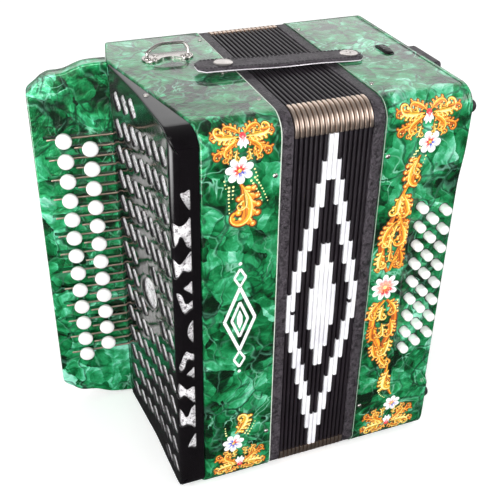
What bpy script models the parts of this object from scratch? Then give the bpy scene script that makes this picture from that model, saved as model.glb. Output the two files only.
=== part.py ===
"""Two-row button accordion (garmon), standing on its lower side.

Row frame: origin on the floor, on the flat lower side of the treble half,
+X from the treble half to the bass half (the way the bellows opens), -Y to the
front (the side that faces the listener), +Z up. Lengths are in millimetres from
the middle of the closed bellows; SHIFT_X moves them to the row frame and they
become metres when a mesh is made.
"""

import math
from collections import namedtuple

import bmesh
import bpy
from mathutils import Vector

MM = 0.001
SHIFT_X = 70.0

# overall
HEIGHT = 340.0
DEPTH = 199.0
Y_FRONT = -DEPTH / 2
Y_BACK = DEPTH / 2
EDGE_R = 17.0            # rounding of the long edges that run along X
MIN_EDGE_R = 3.0
EDGE_STEPS = 5
WALL = 6.0
DECK_T = 5.0

# bellows space
BELLOWS_HALF = 40.5      # case edge to the middle of the bellows
FRAME_W = 9.3            # bellows frame on each case
FRAME_INSET = 0.7
MOUTH_X = BELLOWS_HALF - FRAME_W

# treble half: a wedge that widens towards the back, as far as the bend
# under the fingerboard, and narrows again behind it
TREBLE_W_FRONT = 59.0
TREBLE_W_BACK = 98.6     # where the front slope would end without the bend
BEND_Y = 47.0
BACK_SLOPE = 0.222
RECESS = 13.25           # deck below the open side of the case, along X
SEAT_OVERLAP = 0.3       # fingerboard and grille reach past the case side's line

# bass half
BASS_W = 73.0
COVER_T = 4.0
COVER_GAP = 0.3
BASS_END_X = BELLOWS_HALF + BASS_W
BASS_RIM_X = BASS_END_X - COVER_T - COVER_GAP

# treble keys; key 0 is the uppermost
KEY_N = 25
KEY_PITCH = 9.06
KEY_MID_Z = HEIGHT / 2
KeyRow = namedtuple("KeyRow", "button_x lever_end_x slot_end pallet_front pallet_back")
# outer row, then inner row: the keys alternate between them
KEY_ROWS = (KeyRow(-167.7, -181.0, 56.5, -78.0, -38.0),
            KeyRow(-147.3, -160.0, 35.5, -26.0, 8.0))

# finishes
GREEN = dict(colour=(0.0, 0.22, 0.09), roughness=0.15, coat=1.0)
BLACK_GLOSS = dict(colour=(0.01, 0.01, 0.012), roughness=0.12, coat=1.0)
LEATHER = dict(colour=(0.02, 0.018, 0.02), roughness=0.55)
IVORY = dict(colour=(0.86, 0.85, 0.82), roughness=0.2, coat=0.5)
NICKEL = dict(colour=(0.75, 0.72, 0.66), roughness=0.2, metallic=1.0)
CLOTH = dict(colour=(0.03, 0.028, 0.03), roughness=0.6)


# ---------------------------------------------------------------- objects
def new_material(name, colour, roughness, metallic=0.0, coat=0.0):
    material = bpy.data.materials.new(name)
    material.use_nodes = True
    inputs = material.node_tree.nodes["Principled BSDF"].inputs
    inputs["Base Color"].default_value = (*colour, 1.0)
    inputs["Roughness"].default_value = roughness
    inputs["Metallic"].default_value = metallic
    inputs["Coat Weight"].default_value = coat
    return material


def finish_mesh(name, body, origin=(0.0, 0.0, 0.0)):
    """Turns a bmesh in mm into a mesh in metres about the given origin."""
    bmesh.ops.remove_doubles(body, verts=body.verts, dist=1e-4)
    bmesh.ops.recalc_face_normals(body, faces=body.faces)
    offset = Vector(origin)
    for vert in body.verts:
        vert.co = (vert.co - offset) * MM
    mesh = bpy.data.meshes.new(name)
    body.to_mesh(mesh)
    body.free()
    return mesh


def row_frame(origin):
    """A point in mm from the middle of the bellows, in metres in the row frame."""
    return (Vector(origin) + Vector((SHIFT_X, 0.0, 0.0))) * MM


def link_object(name, mesh, origin=(0.0, 0.0, 0.0)):
    obj = bpy.data.objects.new(name, mesh)
    bpy.context.scene.collection.objects.link(obj)
    obj.location = row_frame(origin)
    return obj


def new_object(name, body, finish, origin=(0.0, 0.0, 0.0)):
    """One named closed mesh with its own material and its origin in mm."""
    mesh = finish_mesh(name, body, origin)
    mesh.materials.append(new_material(name + "_mat", **finish))
    return link_object(name, mesh, origin)


def boolean(obj, tool_body, operation):
    """Joins or cuts obj with a tool bmesh given in mm, and bakes the result."""
    tool_mesh = finish_mesh("cutter", tool_body)
    tool = link_object("cutter", tool_mesh)
    modifier = obj.modifiers.new("cut", "BOOLEAN")
    modifier.operation = operation
    modifier.solver = "EXACT"
    modifier.object = tool
    bpy.context.view_layer.update()
    graph = bpy.context.evaluated_depsgraph_get()
    baked = bpy.data.meshes.new_from_object(obj.evaluated_get(graph))
    obj.modifiers.remove(modifier)

    old = obj.data
    material = old.materials[0]
    obj.data = baked
    baked.materials.clear()
    baked.materials.append(material)
    for polygon in baked.polygons:
        polygon.material_index = 0
    bpy.data.meshes.remove(old)
    bpy.data.objects.remove(tool, do_unlink=True)
    bpy.data.meshes.remove(tool_mesh)

    # clear the slivers the boolean leaves; lengths here are in metres
    tidy = bmesh.new()
    tidy.from_mesh(baked)
    bmesh.ops.remove_doubles(tidy, verts=tidy.verts, dist=1e-7)
    bmesh.ops.dissolve_degenerate(tidy, edges=tidy.edges, dist=1e-7)
    tidy.to_mesh(baked)
    tidy.free()
    baked.name = obj.name


# ---------------------------------------------------------------- outlines
def rectangle(u0, u1, v0, v1):
    return [(u0, v0), (u1, v0), (u1, v1), (u0, v1)]


def rounded_rect(y0, y1, z0, z1, radius, steps):
    """Closed outline in the YZ plane, anticlockwise seen from +X."""
    points = []
    for centre_y, centre_z, start in ((y1 - radius, z1 - radius, 0.0),
                                      (y0 + radius, z1 - radius, 90.0),
                                      (y0 + radius, z0 + radius, 180.0),
                                      (y1 - radius, z0 + radius, 270.0)):
        for i in range(steps + 1):
            angle = math.radians(start + 90.0 * i / steps)
            points.append((centre_y + radius * math.cos(angle),
                           centre_z + radius * math.sin(angle)))
    return points


def case_outline(inset, steps=EDGE_STEPS):
    radius = max(EDGE_R - inset, MIN_EDGE_R)
    return rounded_rect(Y_FRONT + inset, Y_BACK - inset, inset, HEIGHT - inset,
                        radius, steps)


def treble_outline(inset):
    """The case outline with a point above and below where the case side bends."""
    points = case_outline(inset)
    corner = EDGE_STEPS + 1
    return (points[:corner] + [(BEND_Y, HEIGHT - inset)] + points[corner:3 * corner]
            + [(BEND_Y, inset)] + points[3 * corner:])


def treble_x(y):
    """The open side of the wedge-shaped treble case."""
    share = (min(y, BEND_Y) - Y_FRONT) / DEPTH
    return (-BELLOWS_HALF - TREBLE_W_FRONT - (TREBLE_W_BACK - TREBLE_W_FRONT) * share
            + BACK_SLOPE * max(y - BEND_Y, 0.0))


# Placings: each turns a point of a 2-D outline and a level into x, y, z.
def level_x(point, x):
    return x, point[0], point[1]


def level_y(point, y):
    return point[0], y, point[1]


def level_z(point, z):
    return point[0], point[1], z


def below_treble_side(point, depth):
    """Outline in YZ, level measured along +X from the treble case side."""
    return treble_x(point[0]) + depth, point[0], point[1]


# ---------------------------------------------------------------- solids
def add_ring(body, outline, level, place):
    return [body.verts.new(place(point, level)) for point in outline]


def bridge(body, rings):
    """Walls from each ring to the next."""
    for ring, following in zip(rings, rings[1:]):
        count = len(ring)
        for i in range(count):
            j = (i + 1) % count
            body.faces.new((ring[i], ring[j], following[j], following[i]))


def loft(body, rings):
    """Closed body through the rings, with a flat face at each end."""
    bridge(body, rings)
    body.faces.new(rings[0])
    body.faces.new(rings[-1])


def prism(body, outline, low, high, place):
    loft(body, [add_ring(body, outline, level, place) for level in (low, high)])


def turned(body, profile, sides, centre, axis):
    """Closed turned body about a level axis; profile: (distance along it, radius)."""
    up = Vector((0.0, 0.0, 1.0))
    axis = Vector(axis).normalized()
    across = axis.cross(up)
    angles = [2 * math.pi * (i + 0.5) / sides for i in range(sides)]
    rings = []
    for along, radius in profile:
        rings.append([body.verts.new(Vector(centre) + axis * along
                                     + up * (radius * math.cos(angle))
                                     + across * (radius * math.sin(angle)))
                      for angle in angles])
    loft(body, rings)


# ---------------------------------------------------------------- treble case
OPENING_MARGIN = 8.0
OPENING_BACK_Y = 46.0
OPENING_R = 9.0
HOLE_END_MARGIN = 4.0    # pallet end to tone hole end
HOLE_HALF_H = 3.6


def key_z(k):
    return KEY_MID_Z + KEY_PITCH * ((KEY_N - 1) / 2 - k)


def key_row(k):
    return KEY_ROWS[k % 2]


def bent_face(body, ring):
    """Closes a treble outline with two flat faces that meet in the bend."""
    corner = EDGE_STEPS + 1
    body.faces.new(ring[corner:3 * corner + 2])
    body.faces.new(ring[3 * corner + 1:] + ring[:corner + 1])


def build_treble_case():
    # outline inset, level, placing: from the open side round to the deck's back
    stations = [(0.0, 0.0, below_treble_side),
                (0.0, -BELLOWS_HALF, level_x),
                (FRAME_INSET, -BELLOWS_HALF, level_x),
                (FRAME_INSET, -MOUTH_X, level_x),
                (WALL, -MOUTH_X, level_x),
                (WALL, RECESS + DECK_T, below_treble_side)]
    body = bmesh.new()
    rings = [add_ring(body, treble_outline(inset), level, place)
             for inset, level, place in stations]
    bridge(body, rings)
    bent_face(body, rings[0])
    bent_face(body, rings[-1])
    case = new_object("treble_case", body, GREEN)

    recess = bmesh.new()
    opening = rounded_rect(Y_FRONT + OPENING_MARGIN, OPENING_BACK_Y,
                           OPENING_MARGIN, HEIGHT - OPENING_MARGIN, OPENING_R, 3)
    prism(recess, opening, -6.0, RECESS, below_treble_side)
    boolean(case, recess, "DIFFERENCE")

    # tone holes in the deck, one under each pallet
    holes = bmesh.new()
    for k in range(KEY_N):
        row = key_row(k)
        z = key_z(k)
        hole = rectangle(row.pallet_front + HOLE_END_MARGIN,
                         row.pallet_back - HOLE_END_MARGIN,
                         z - HOLE_HALF_H, z + HOLE_HALF_H)
        prism(holes, hole, RECESS - 2.0, RECESS + DECK_T + 2.0, below_treble_side)
    boolean(case, holes, "DIFFERENCE")


# ---------------------------------------------------------------- fingerboard
FB_JOIN = (-127.0, 44.5)     # where its face plane meets the case side
FB_TILT = math.radians(8.32)
FB_T = 14.0
FB_CHAMFER = 1.2
FB_BEND_DEPTH = 2.3          # level that stands at the bend of the case side
FB_ALONG = Vector((-math.cos(FB_TILT), math.sin(FB_TILT)))
FB_INTO = Vector((math.sin(FB_TILT), math.cos(FB_TILT)))
# upper half of the outline, from the free edge: distance along the board, z
FB_PROFILE = [(65.5, 313.5), (64.3, 318.0), (57.5, 323.8), (50.8, 328.9),
              (46.5, 330.6), (39.0, 331.0), (33.5, 332.2), (27.0, 335.2),
              (20.5, 337.2), (12.0, 338.2)]
SLOT_START = -12.0
SLOT_FRONT = -8.0
SLOT_DEPTH = 4.6
SLOT_HALF_H = 1.5


def on_board(along, into):
    """x, y of a point on the board: along it from the join, into it from its face."""
    point = Vector(FB_JOIN) + FB_ALONG * along + FB_INTO * into
    return point.x, point.y


def board_start(into):
    """Distance along the board where it meets the sloping case side."""
    along = 0.0
    for _ in range(40):      # each step removes most of the remaining gap
        x, y = on_board(along, into)
        along += (x - (treble_x(y) - SEAT_OVERLAP)) * 0.9
    return along


def build_fingerboard():
    body = bmesh.new()
    rings = []
    # depth into the board, edge inset
    for into, inset in ((0.0, FB_CHAMFER), (FB_CHAMFER, 0.0), (FB_BEND_DEPTH, 0.0),
                        (FB_T - FB_CHAMFER, 0.0), (FB_T, FB_CHAMFER)):
        # only the two points at the free edge also move in along the board
        upper = [(along - (inset if i < 2 else 0.0), z - inset)
                 for i, (along, z) in enumerate(FB_PROFILE)]
        upper.append((board_start(into), FB_PROFILE[-1][1] + 0.1 - inset))
        outline = upper + [(along, HEIGHT - z) for along, z in reversed(upper)]
        rings.append(add_ring(body, outline, into,
                              lambda point, depth: (*on_board(point[0], depth), point[1])))
    loft(body, rings)
    fingerboard = new_object("fingerboard", body, GREEN)

    # slots the levers move in
    slots = bmesh.new()
    for k in range(KEY_N):
        z = key_z(k)
        slot = rectangle(SLOT_START, key_row(k).slot_end, SLOT_FRONT, SLOT_DEPTH)
        prism(slots, slot, z - SLOT_HALF_H, z + SLOT_HALF_H,
              lambda point, level: (*on_board(*point), level))
    boolean(fingerboard, slots, "DIFFERENCE")


# ---------------------------------------------------------------- treble grille
GRILLE_INSET = 1.5
GRILLE_T = 2.2
GRILLE_Y0 = Y_FRONT + GRILLE_INSET
GRILLE_Y1 = 39.6
GRILLE_CORNER_R = 6.0
# outer side: y, x
GRILLE_LINE = [(Y_FRONT, -120.6), (-54.5, -122.2), (-24.5, -123.2),
               (GRILLE_Y1 + 0.1, -128.9)]
# distances back from the front face; the last is cut off at the back end
GRILLE_STATIONS = [0.0, 0.8, 2.4, 4.4, 6.0, 9.0, 12.0, 15.5, 43.5, 73.5, 200.0]
HOLLOW_STATIONS = [0.0, 0.8, 2.0, 3.8, 7.0, 10.0, 13.3, 41.3, 71.3, 200.0]

# leaning slits, in columns from front to back and rows from bottom to top
SLIT_COLS = 4
SLIT_ROWS = 9
SLIT_Y0, SLIT_PITCH_Y = -66.0, 27.0
SLIT_Z0, SLIT_PITCH_Z = 42.0, 30.5
SLIT_STAGGER = 9.0           # every second column stands higher
SLIT_LEAN = 0.32
SLIT_HALF_H = 11.5
SLIT_HALF_W = 3.2
SLIT_POINT = 3.0             # slant of the slit ends


def grille_x(y):
    """Outer side at y; behind the last point the last segment runs on."""
    for (y_a, x_a), (y_b, x_b) in zip(GRILLE_LINE, GRILLE_LINE[1:]):
        if y <= y_b:
            break
    return x_a + (x_b - x_a) * (y - y_a) / (y_b - y_a)


def rounding_loss(depth, radius):
    """Height lost to a rounding of this radius, depth in from its face."""
    if depth >= radius:
        return 0.0
    return radius - math.sqrt(max(radius ** 2 - (radius - depth) ** 2, 0.0))


def grille_solid(inset, past_side, stations, y_end):
    """Upright rectangles along Y, from past_side beyond the case side outwards."""
    body = bmesh.new()
    rings = []
    for distance in stations:
        y = min(GRILLE_Y0 + inset + distance, y_end)
        x_out = grille_x(y) + inset + rounding_loss(distance, GRILLE_CORNER_R - inset)
        drop = (GRILLE_INSET + inset
                + rounding_loss(distance, EDGE_R - GRILLE_INSET - inset))
        outline = rectangle(treble_x(y) + past_side, x_out, drop, HEIGHT - drop)
        rings.append(add_ring(body, outline, y, level_y))
    loft(body, rings)
    return body


def build_treble_grille():
    body = grille_solid(0.0, -SEAT_OVERLAP, GRILLE_STATIONS, GRILLE_Y1)
    grille = new_object("treble_grille", body, BLACK_GLOSS)
    hollow = grille_solid(GRILLE_T, 12.0, HOLLOW_STATIONS, GRILLE_Y1 + 9.0)
    boolean(grille, hollow, "DIFFERENCE")

    slits = bmesh.new()
    lean = SLIT_LEAN * SLIT_HALF_H
    for col in range(SLIT_COLS):
        for row in range(SLIT_ROWS):
            y = SLIT_Y0 + SLIT_PITCH_Y * col
            z = SLIT_Z0 + SLIT_PITCH_Z * row + (SLIT_STAGGER if col % 2 else 0.0)
            slit = [(y - SLIT_HALF_W - lean, z + SLIT_HALF_H),
                    (y + SLIT_HALF_W - lean, z + SLIT_HALF_H + SLIT_POINT),
                    (y + SLIT_HALF_W + lean, z - SLIT_HALF_H),
                    (y - SLIT_HALF_W + lean, z - SLIT_HALF_H - SLIT_POINT)]
            prism(slits, slit, -5.0, 5.0,
                  lambda point, level: (grille_x(point[0]) + level, *point))
    boolean(grille, slits, "DIFFERENCE")


# ---------------------------------------------------------------- treble keys
PIVOT = Vector((-121.0, 42.3))       # the key rod
LEVER_TILT = math.radians(4.95)
LEVER_T = 1.6
LEVER_ALONG = Vector((-math.cos(LEVER_TILT), math.sin(LEVER_TILT)))
LEVER_FRONT = Vector((-math.sin(LEVER_TILT), -math.cos(LEVER_TILT)))
ARM_TIP_INSET = 6.0                  # from the front end of the pallet
ARM_TIP_LIFT = 5.2
PALLET_LIFT, PALLET_TOP = 0.4, 4.9   # above the deck
PALLET_HALF_H = 7.2
BUTTON_R = 13.4 / 2
# stem and button: distance from the lever, radius
BUTTON_PROFILE = [(-0.3, 2.1), (2.9, 2.1), (2.9, 4.8), (3.7, BUTTON_R),
                  (6.6, BUTTON_R), (7.8, BUTTON_R - 1.6)]


def above_deck(y, lift):
    return Vector((treble_x(y) + RECESS - lift, y))


def build_key(name, k):
    """Button, lever, arm and pallet of one key, turning on the key rod."""
    z = key_z(k)
    row = key_row(k)
    half = LEVER_T / 2

    # lever from its free end to the rod, then the arm down to its pallet
    lever_end = PIVOT + LEVER_ALONG * ((PIVOT.x - row.lever_end_x) / math.cos(LEVER_TILT))
    lever_start = PIVOT + LEVER_ALONG * 3.0
    tip = above_deck(row.pallet_front + ARM_TIP_INSET, ARM_TIP_LIFT)
    arm_along = (tip - PIVOT).normalized()
    arm_out = Vector((arm_along.y, -arm_along.x))
    outline = [lever_end - LEVER_FRONT * half,
               lever_end + LEVER_FRONT * half,
               lever_start + LEVER_FRONT * half,
               PIVOT + arm_out * half + LEVER_FRONT * 1.6,
               tip + arm_out * half,
               tip - arm_out * half,
               PIVOT - arm_out * 1.7 + LEVER_FRONT * 1.0,
               PIVOT - arm_out * 1.7 - LEVER_FRONT * 1.0,
               PIVOT - LEVER_FRONT * 1.5,
               lever_start - LEVER_FRONT * half]
    body = bmesh.new()
    prism(body, outline, z - half, z + half, level_z)
    key = new_object(name, body, IVORY)

    # pallet, just clear of the deck
    pallet = bmesh.new()
    flap = [above_deck(row.pallet_front, PALLET_LIFT),
            above_deck(row.pallet_back, PALLET_LIFT),
            above_deck(row.pallet_back, PALLET_TOP),
            above_deck(row.pallet_front, PALLET_TOP)]
    prism(pallet, flap, z - PALLET_HALF_H, z + PALLET_HALF_H, level_z)
    boolean(key, pallet, "UNION")

    # button with its stem, square to the fingerboard face
    button = bmesh.new()
    foot = PIVOT + LEVER_ALONG * ((PIVOT.x - row.button_x) / math.cos(LEVER_TILT))
    turned(button, BUTTON_PROFILE, 12, (*foot, z), (*-FB_INTO, 0.0))
    boolean(key, button, "UNION")

    # move the object origin onto the key rod
    origin = Vector((*PIVOT, z))
    for vert in key.data.vertices:
        vert.co = vert.co - origin * MM
    key.location = row_frame(origin)
    return key


def build_treble_keys():
    """The first key of each row is built, the others are copies of it."""
    masters = []
    for k in range(KEY_N):
        name = "treble_key_%02d" % (k + 1)
        if k < len(KEY_ROWS):
            masters.append(build_key(name, k))
            continue
        mesh = masters[k % 2].data.copy()
        mesh.name = name
        mesh.materials.clear()
        mesh.materials.append(new_material(name + "_mat", **IVORY))
        link_object(name, mesh, (*PIVOT, key_z(k)))


# ---------------------------------------------------------------- bellows
FOLDS = 16
FOLD_GAP = 0.3           # bellows to the cases' mouths
RIDGE_INSET = 1.0
VALLEY_INSET = 10.0
BELLOWS_T = 3.0          # between the outer and inner outlines


def build_bellows():
    body = bmesh.new()
    half = MOUTH_X - FOLD_GAP
    half_pitch = half / FOLDS
    rings = []
    # out along the outer skin, back along the inner one
    for stations, thickness in ((range(2 * FOLDS + 1), 0.0),
                                (reversed(range(2 * FOLDS + 1)), BELLOWS_T)):
        for i in stations:
            inset = (RIDGE_INSET if i % 2 else VALLEY_INSET) + thickness
            rings.append(add_ring(body, case_outline(inset, 3),
                                  -half + i * half_pitch, level_x))
    bridge(body, rings + rings[:1])
    new_object("bellows", body, CLOTH)


# ---------------------------------------------------------------- bass case
BASS_DECK_X = 56.0
BOARD_X0 = 73.2
BOARD_Y = Y_FRONT + 3.5
BORE_R = 4.6
FRONT_TO_BACK = (0.0, 1.0, 0.0)
# hollow in the front side that holds the bass buttons: y, z
SCOOP = [(Y_FRONT, 56.5), (Y_FRONT + 2.0, 58.5), (BOARD_Y, 63.0),
         (BOARD_Y, 258.0), (Y_FRONT + 2.9, 272.0), (Y_FRONT + 1.5, 286.0),
         (Y_FRONT, 297.0)]

BB_PITCH = 17.45
BB_TOP_Z = 245.5
# columns of bass buttons: x, z of the uppermost, count
BB_COLS = [(81.4, BB_TOP_Z, 9), (92.2, BB_TOP_Z - 2 * BB_PITCH / 3, 8),
           (103.4, BB_TOP_Z - BB_PITCH / 3, 8)]
# x, z of each button, from the top down
BASS_SPOTS = sorted(((x, z_top - BB_PITCH * i)
                     for x, z_top, count in BB_COLS for i in range(count)),
                    key=lambda spot: (-spot[1], spot[0]))

AIR_X, AIR_Y = 89.3, -3.9
AIR_SLOT_HALF_W = 3.8
AIR_SLOT_HALF_L = 11.4


def build_bass_case():
    # outline inset, x: from the deck's inner face round the rim to its outer face
    stations = [(WALL, BASS_DECK_X), (WALL, MOUTH_X),
                (FRAME_INSET, MOUTH_X), (FRAME_INSET, BELLOWS_HALF),
                (0.0, BELLOWS_HALF), (0.0, BASS_RIM_X),
                (WALL, BASS_RIM_X), (WALL, BASS_DECK_X + DECK_T)]
    body = bmesh.new()
    loft(body, [add_ring(body, case_outline(inset), x, level_x)
                for inset, x in stations])
    case = new_object("bass_case", body, GREEN)

    hollow = bmesh.new()
    outline = [(Y_FRONT - 9.0, 48.0)] + SCOOP + [(Y_FRONT - 9.0, 330.0)]
    prism(hollow, outline, BOARD_X0, 125.0, level_x)
    boolean(case, hollow, "DIFFERENCE")

    bores = bmesh.new()
    for x, z in BASS_SPOTS:
        turned(bores, [(0.0, BORE_R), (16.0, BORE_R)], 8, (x, Y_FRONT - 5.0, z),
               FRONT_TO_BACK)
    boolean(case, bores, "DIFFERENCE")

    air_slot = bmesh.new()
    outline = rectangle(AIR_X - AIR_SLOT_HALF_W, AIR_X + AIR_SLOT_HALF_W,
                        AIR_Y - AIR_SLOT_HALF_L, AIR_Y + AIR_SLOT_HALF_L)
    prism(air_slot, outline, HEIGHT - WALL - 3.0, HEIGHT + 5.0, level_z)
    boolean(case, air_slot, "DIFFERENCE")


# ---------------------------------------------------------------- bass end cover
def build_bass_end_cover():
    """Plate with the case outline and the scoop in its front edge."""
    plain = case_outline(0.0)
    middle = len(plain) // 2     # the upper corners come first
    outline = plain[:middle] + SCOOP[::-1] + plain[middle:]
    inner_x = BASS_RIM_X + COVER_GAP
    body = bmesh.new()
    rings = []
    for x, inset in ((inner_x, 0.0), (inner_x + 2.8, 0.0), (BASS_END_X, 1.2)):
        scale_y = (DEPTH - 2 * inset) / DEPTH
        scale_z = (HEIGHT - 2 * inset) / HEIGHT
        scaled = [(y * scale_y, HEIGHT / 2 + (z - HEIGHT / 2) * scale_z)
                  for y, z in outline]
        rings.append(add_ring(body, scaled, x, level_x))
    loft(body, rings)
    new_object("bass_end_cover", body, GREEN)


# ---------------------------------------------------------------- bass buttons
BB_R = 7.9 / 2
BB_STEM_R = 2.0
BB_PROUD = 8.2           # button face in front of the board
# distance back from the button face, radius
BB_PROFILE = [(0.0, BB_R - 1.3), (1.3, BB_R), (14.5, BB_R),
              (14.5, BB_STEM_R), (27.0, BB_STEM_R)]


def build_bass_buttons():
    for i, (x, z) in enumerate(BASS_SPOTS):
        body = bmesh.new()
        turned(body, BB_PROFILE, 10, (x, BOARD_Y - BB_PROUD, z), FRONT_TO_BACK)
        new_object("bass_button_%02d" % (i + 1), body, IVORY, (x, BOARD_Y, z))


# ---------------------------------------------------------------- air button
AIR_HALF_W = 3.3
# domed outline: y from the middle, z from the case top
AIR_DOME = [(-10.9, -14.0), (10.9, -14.0), (10.9, 0.6), (8.4, 1.9), (3.0, 2.8),
            (-3.0, 2.8), (-8.4, 1.9), (-10.9, 0.6)]


def build_air_button():
    body = bmesh.new()
    prism(body, AIR_DOME, AIR_X - AIR_HALF_W, AIR_X + AIR_HALF_W,
          lambda point, x: (x, AIR_Y + point[0], HEIGHT + point[1]))
    new_object("air_button", body, BLACK_GLOSS, (AIR_X, AIR_Y, HEIGHT))


# ---------------------------------------------------------------- hand strap
HAND_Y0, HAND_Y1 = -37.5, 6.5
HAND_Z0, HAND_Z1 = 9.0, HEIGHT - 12.0
HAND_T = 3.0
HAND_GAP = 0.3           # strap ends to the cover
HAND_LIFT = 27.0         # bow away from the cover at mid height
HAND_STEPS = 18


def build_hand_strap():
    body = bmesh.new()
    rings = []
    for i in range(HAND_STEPS + 1):
        share = i / HAND_STEPS
        lift = HAND_LIFT * math.sin(math.pi * share) ** 0.75 if 0 < i < HAND_STEPS else 0.0
        x = BASS_END_X + HAND_GAP + lift
        rings.append(add_ring(body, rectangle(x, x + HAND_T, HAND_Y0, HAND_Y1),
                              HAND_Z0 + (HAND_Z1 - HAND_Z0) * share, level_z))
    loft(body, rings)
    new_object("hand_strap", body, LEATHER)


# ---------------------------------------------------------------- bellows strap
STRAP_RIVET = (53.6, -10.2)          # x, y of the object origin
STRAP_SNAP_END = Vector((-72.0, -5.8))
STRAP_TAIL_END = Vector((63.4, -10.7))
STRAP_HALF_W = 10.6
STRAP_T = 2.8
STRAP_Z = HEIGHT + 0.4
STRAP_RISE = 3.4                     # how much higher the snap end lies


def build_bellows_strap():
    along = STRAP_TAIL_END - STRAP_SNAP_END
    length = along.length
    along.normalize()
    across = Vector((-along.y, along.x))

    def on_strap(point, level):
        distance, offset = point
        spot = STRAP_SNAP_END + along * distance + across * offset
        rise = STRAP_RISE * (1.0 - distance / length)
        return spot.x, spot.y, STRAP_Z + rise + level

    # one long side: distance from the snap end, offset from the centre line
    side = [(0.0, -4.6), (5.5, -STRAP_HALF_W), (length - 4.5, -STRAP_HALF_W),
            (length, -STRAP_HALF_W + 4.5)]
    outline = side + [(distance, -offset) for distance, offset in reversed(side)]
    body = bmesh.new()
    prism(body, outline, 0.0, STRAP_T, on_strap)
    new_object("bellows_strap", body, LEATHER, (*STRAP_RIVET, STRAP_Z))


# ---------------------------------------------------------------- strap bracket
BRACKET_X, BRACKET_Y = -82.0, 34.5
PLATE_STEPS = 20
WIRE_R = 1.5
WIRE_SIDES = 6
# centre line of the wire bail: x, y, z from the bracket's middle on the case top
BAIL = [(-16.5, -1.0, 0.9), (-16.5, -0.2, 6.0), (-6.0, 3.4, 10.5),
        (12.5, 3.4, 10.5), (16.8, 1.0, 6.5), (16.5, -1.0, 0.9)]


def build_strap_bracket():
    # a flattened oval plate with a stronger wave along its front edge
    plate = []
    for i in range(PLATE_STEPS):
        angle = 2 * math.pi * i / PLATE_STEPS
        wave = 2.6 * math.cos(2 * angle) * (1.0 if math.sin(angle) < 0 else 0.3)
        plate.append((BRACKET_X + 20.5 * math.cos(angle),
                      BRACKET_Y + (7.2 * math.sin(angle) + wave)))
    body = bmesh.new()
    prism(body, plate, HEIGHT + 0.3, HEIGHT + 1.9, level_z)
    bracket = new_object("strap_bracket", body, NICKEL)

    wire = bmesh.new()
    rings = []
    for i, point in enumerate(BAIL):
        before = Vector(BAIL[max(i - 1, 0)])
        after = Vector(BAIL[min(i + 1, len(BAIL) - 1)])
        run = (after - before).normalized()
        across = run.cross(Vector((0.0, 1.0, -0.6))).normalized()
        third = run.cross(across).normalized()
        centre = Vector(point) + Vector((BRACKET_X, BRACKET_Y, HEIGHT))
        rings.append([wire.verts.new(centre + across * (WIRE_R * math.cos(angle))
                                     + third * (WIRE_R * math.sin(angle)))
                      for angle in (2 * math.pi * j / WIRE_SIDES
                                    for j in range(WIRE_SIDES))])
    loft(wire, rings)
    boolean(bracket, wire, "UNION")


for item in list(bpy.data.objects):
    bpy.data.objects.remove(item, do_unlink=True)

build_treble_case()
build_fingerboard()
build_treble_grille()
build_treble_keys()
build_bellows()
build_bass_case()
build_bass_end_cover()
build_bass_buttons()
build_air_button()
build_hand_strap()
build_bellows_strap()
build_strap_bracket()
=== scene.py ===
"""Two-row button accordion with closed bellows, standing upright on z = 0.

Its front faces -Y, the treble half with the keys is at -X and the bass half at +X.
Lengths are in millimetres, x from the middle of the closed bellows; Geo turns them
into metres in the row frame.
"""

import math

import bmesh
import bpy
from mathutils import Matrix, Vector


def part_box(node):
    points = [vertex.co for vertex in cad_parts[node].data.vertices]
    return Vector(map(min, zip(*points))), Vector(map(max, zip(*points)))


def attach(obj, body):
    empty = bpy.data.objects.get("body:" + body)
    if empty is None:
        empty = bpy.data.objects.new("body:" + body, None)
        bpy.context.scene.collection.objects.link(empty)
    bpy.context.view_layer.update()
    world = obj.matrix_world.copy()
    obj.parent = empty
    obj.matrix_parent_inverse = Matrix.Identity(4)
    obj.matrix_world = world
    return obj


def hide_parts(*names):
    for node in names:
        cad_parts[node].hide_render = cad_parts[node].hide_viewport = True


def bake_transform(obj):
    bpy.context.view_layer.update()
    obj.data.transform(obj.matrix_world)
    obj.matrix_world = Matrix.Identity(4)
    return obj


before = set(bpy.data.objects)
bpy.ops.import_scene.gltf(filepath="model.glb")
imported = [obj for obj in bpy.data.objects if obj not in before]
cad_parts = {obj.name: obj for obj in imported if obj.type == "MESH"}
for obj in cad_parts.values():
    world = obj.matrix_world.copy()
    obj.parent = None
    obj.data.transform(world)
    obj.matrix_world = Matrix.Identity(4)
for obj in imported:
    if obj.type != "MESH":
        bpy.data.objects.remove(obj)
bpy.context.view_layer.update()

MM = 0.001
TREBLE, BASS = "treble_half", "bass_half"      # the two bodies that parts ride on

# the air key, on top of the bass half: its middle
AIR_X, AIR_Y = 89.3, -3.9
_lo, _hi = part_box("air_button")
SHIFT = round((_lo.x + _hi.x) / 2 / MM - AIR_X, 3)   # from the bellows middle to the row frame
_lo, _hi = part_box("treble_case")
HEIGHT = round((_hi.z - _lo.z) / MM, 3)
DEPTH = round((_hi.y - _lo.y) / MM, 3)
FRONT, BACK = -DEPTH / 2, DEPTH / 2
CORNER_R = 17.0          # rounding of the case seen from the side
CORNER_STEPS = 14
CASE_START = 40.5        # where each case begins, from the middle
FRAME_START = 31.2       # where each bellows frame begins
FOLDS = 16
FOLDS_HALF = 30.9        # half width of all folds
PITCH = 2 * FOLDS_HALF / FOLDS


def hash01(*numbers):
    """A fixed pseudo-random number in 0..1 for a set of numbers."""
    total = 0.0
    for i, value in enumerate(numbers):
        total += (value + 1.37) * (12.9898 + 37.719 * i)
    return math.modf(abs(math.sin(total) * 43758.5453))[0]


def smooth(t):
    t = min(max(t, 0.0), 1.0)
    return t * t * (3 - 2 * t)


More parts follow.
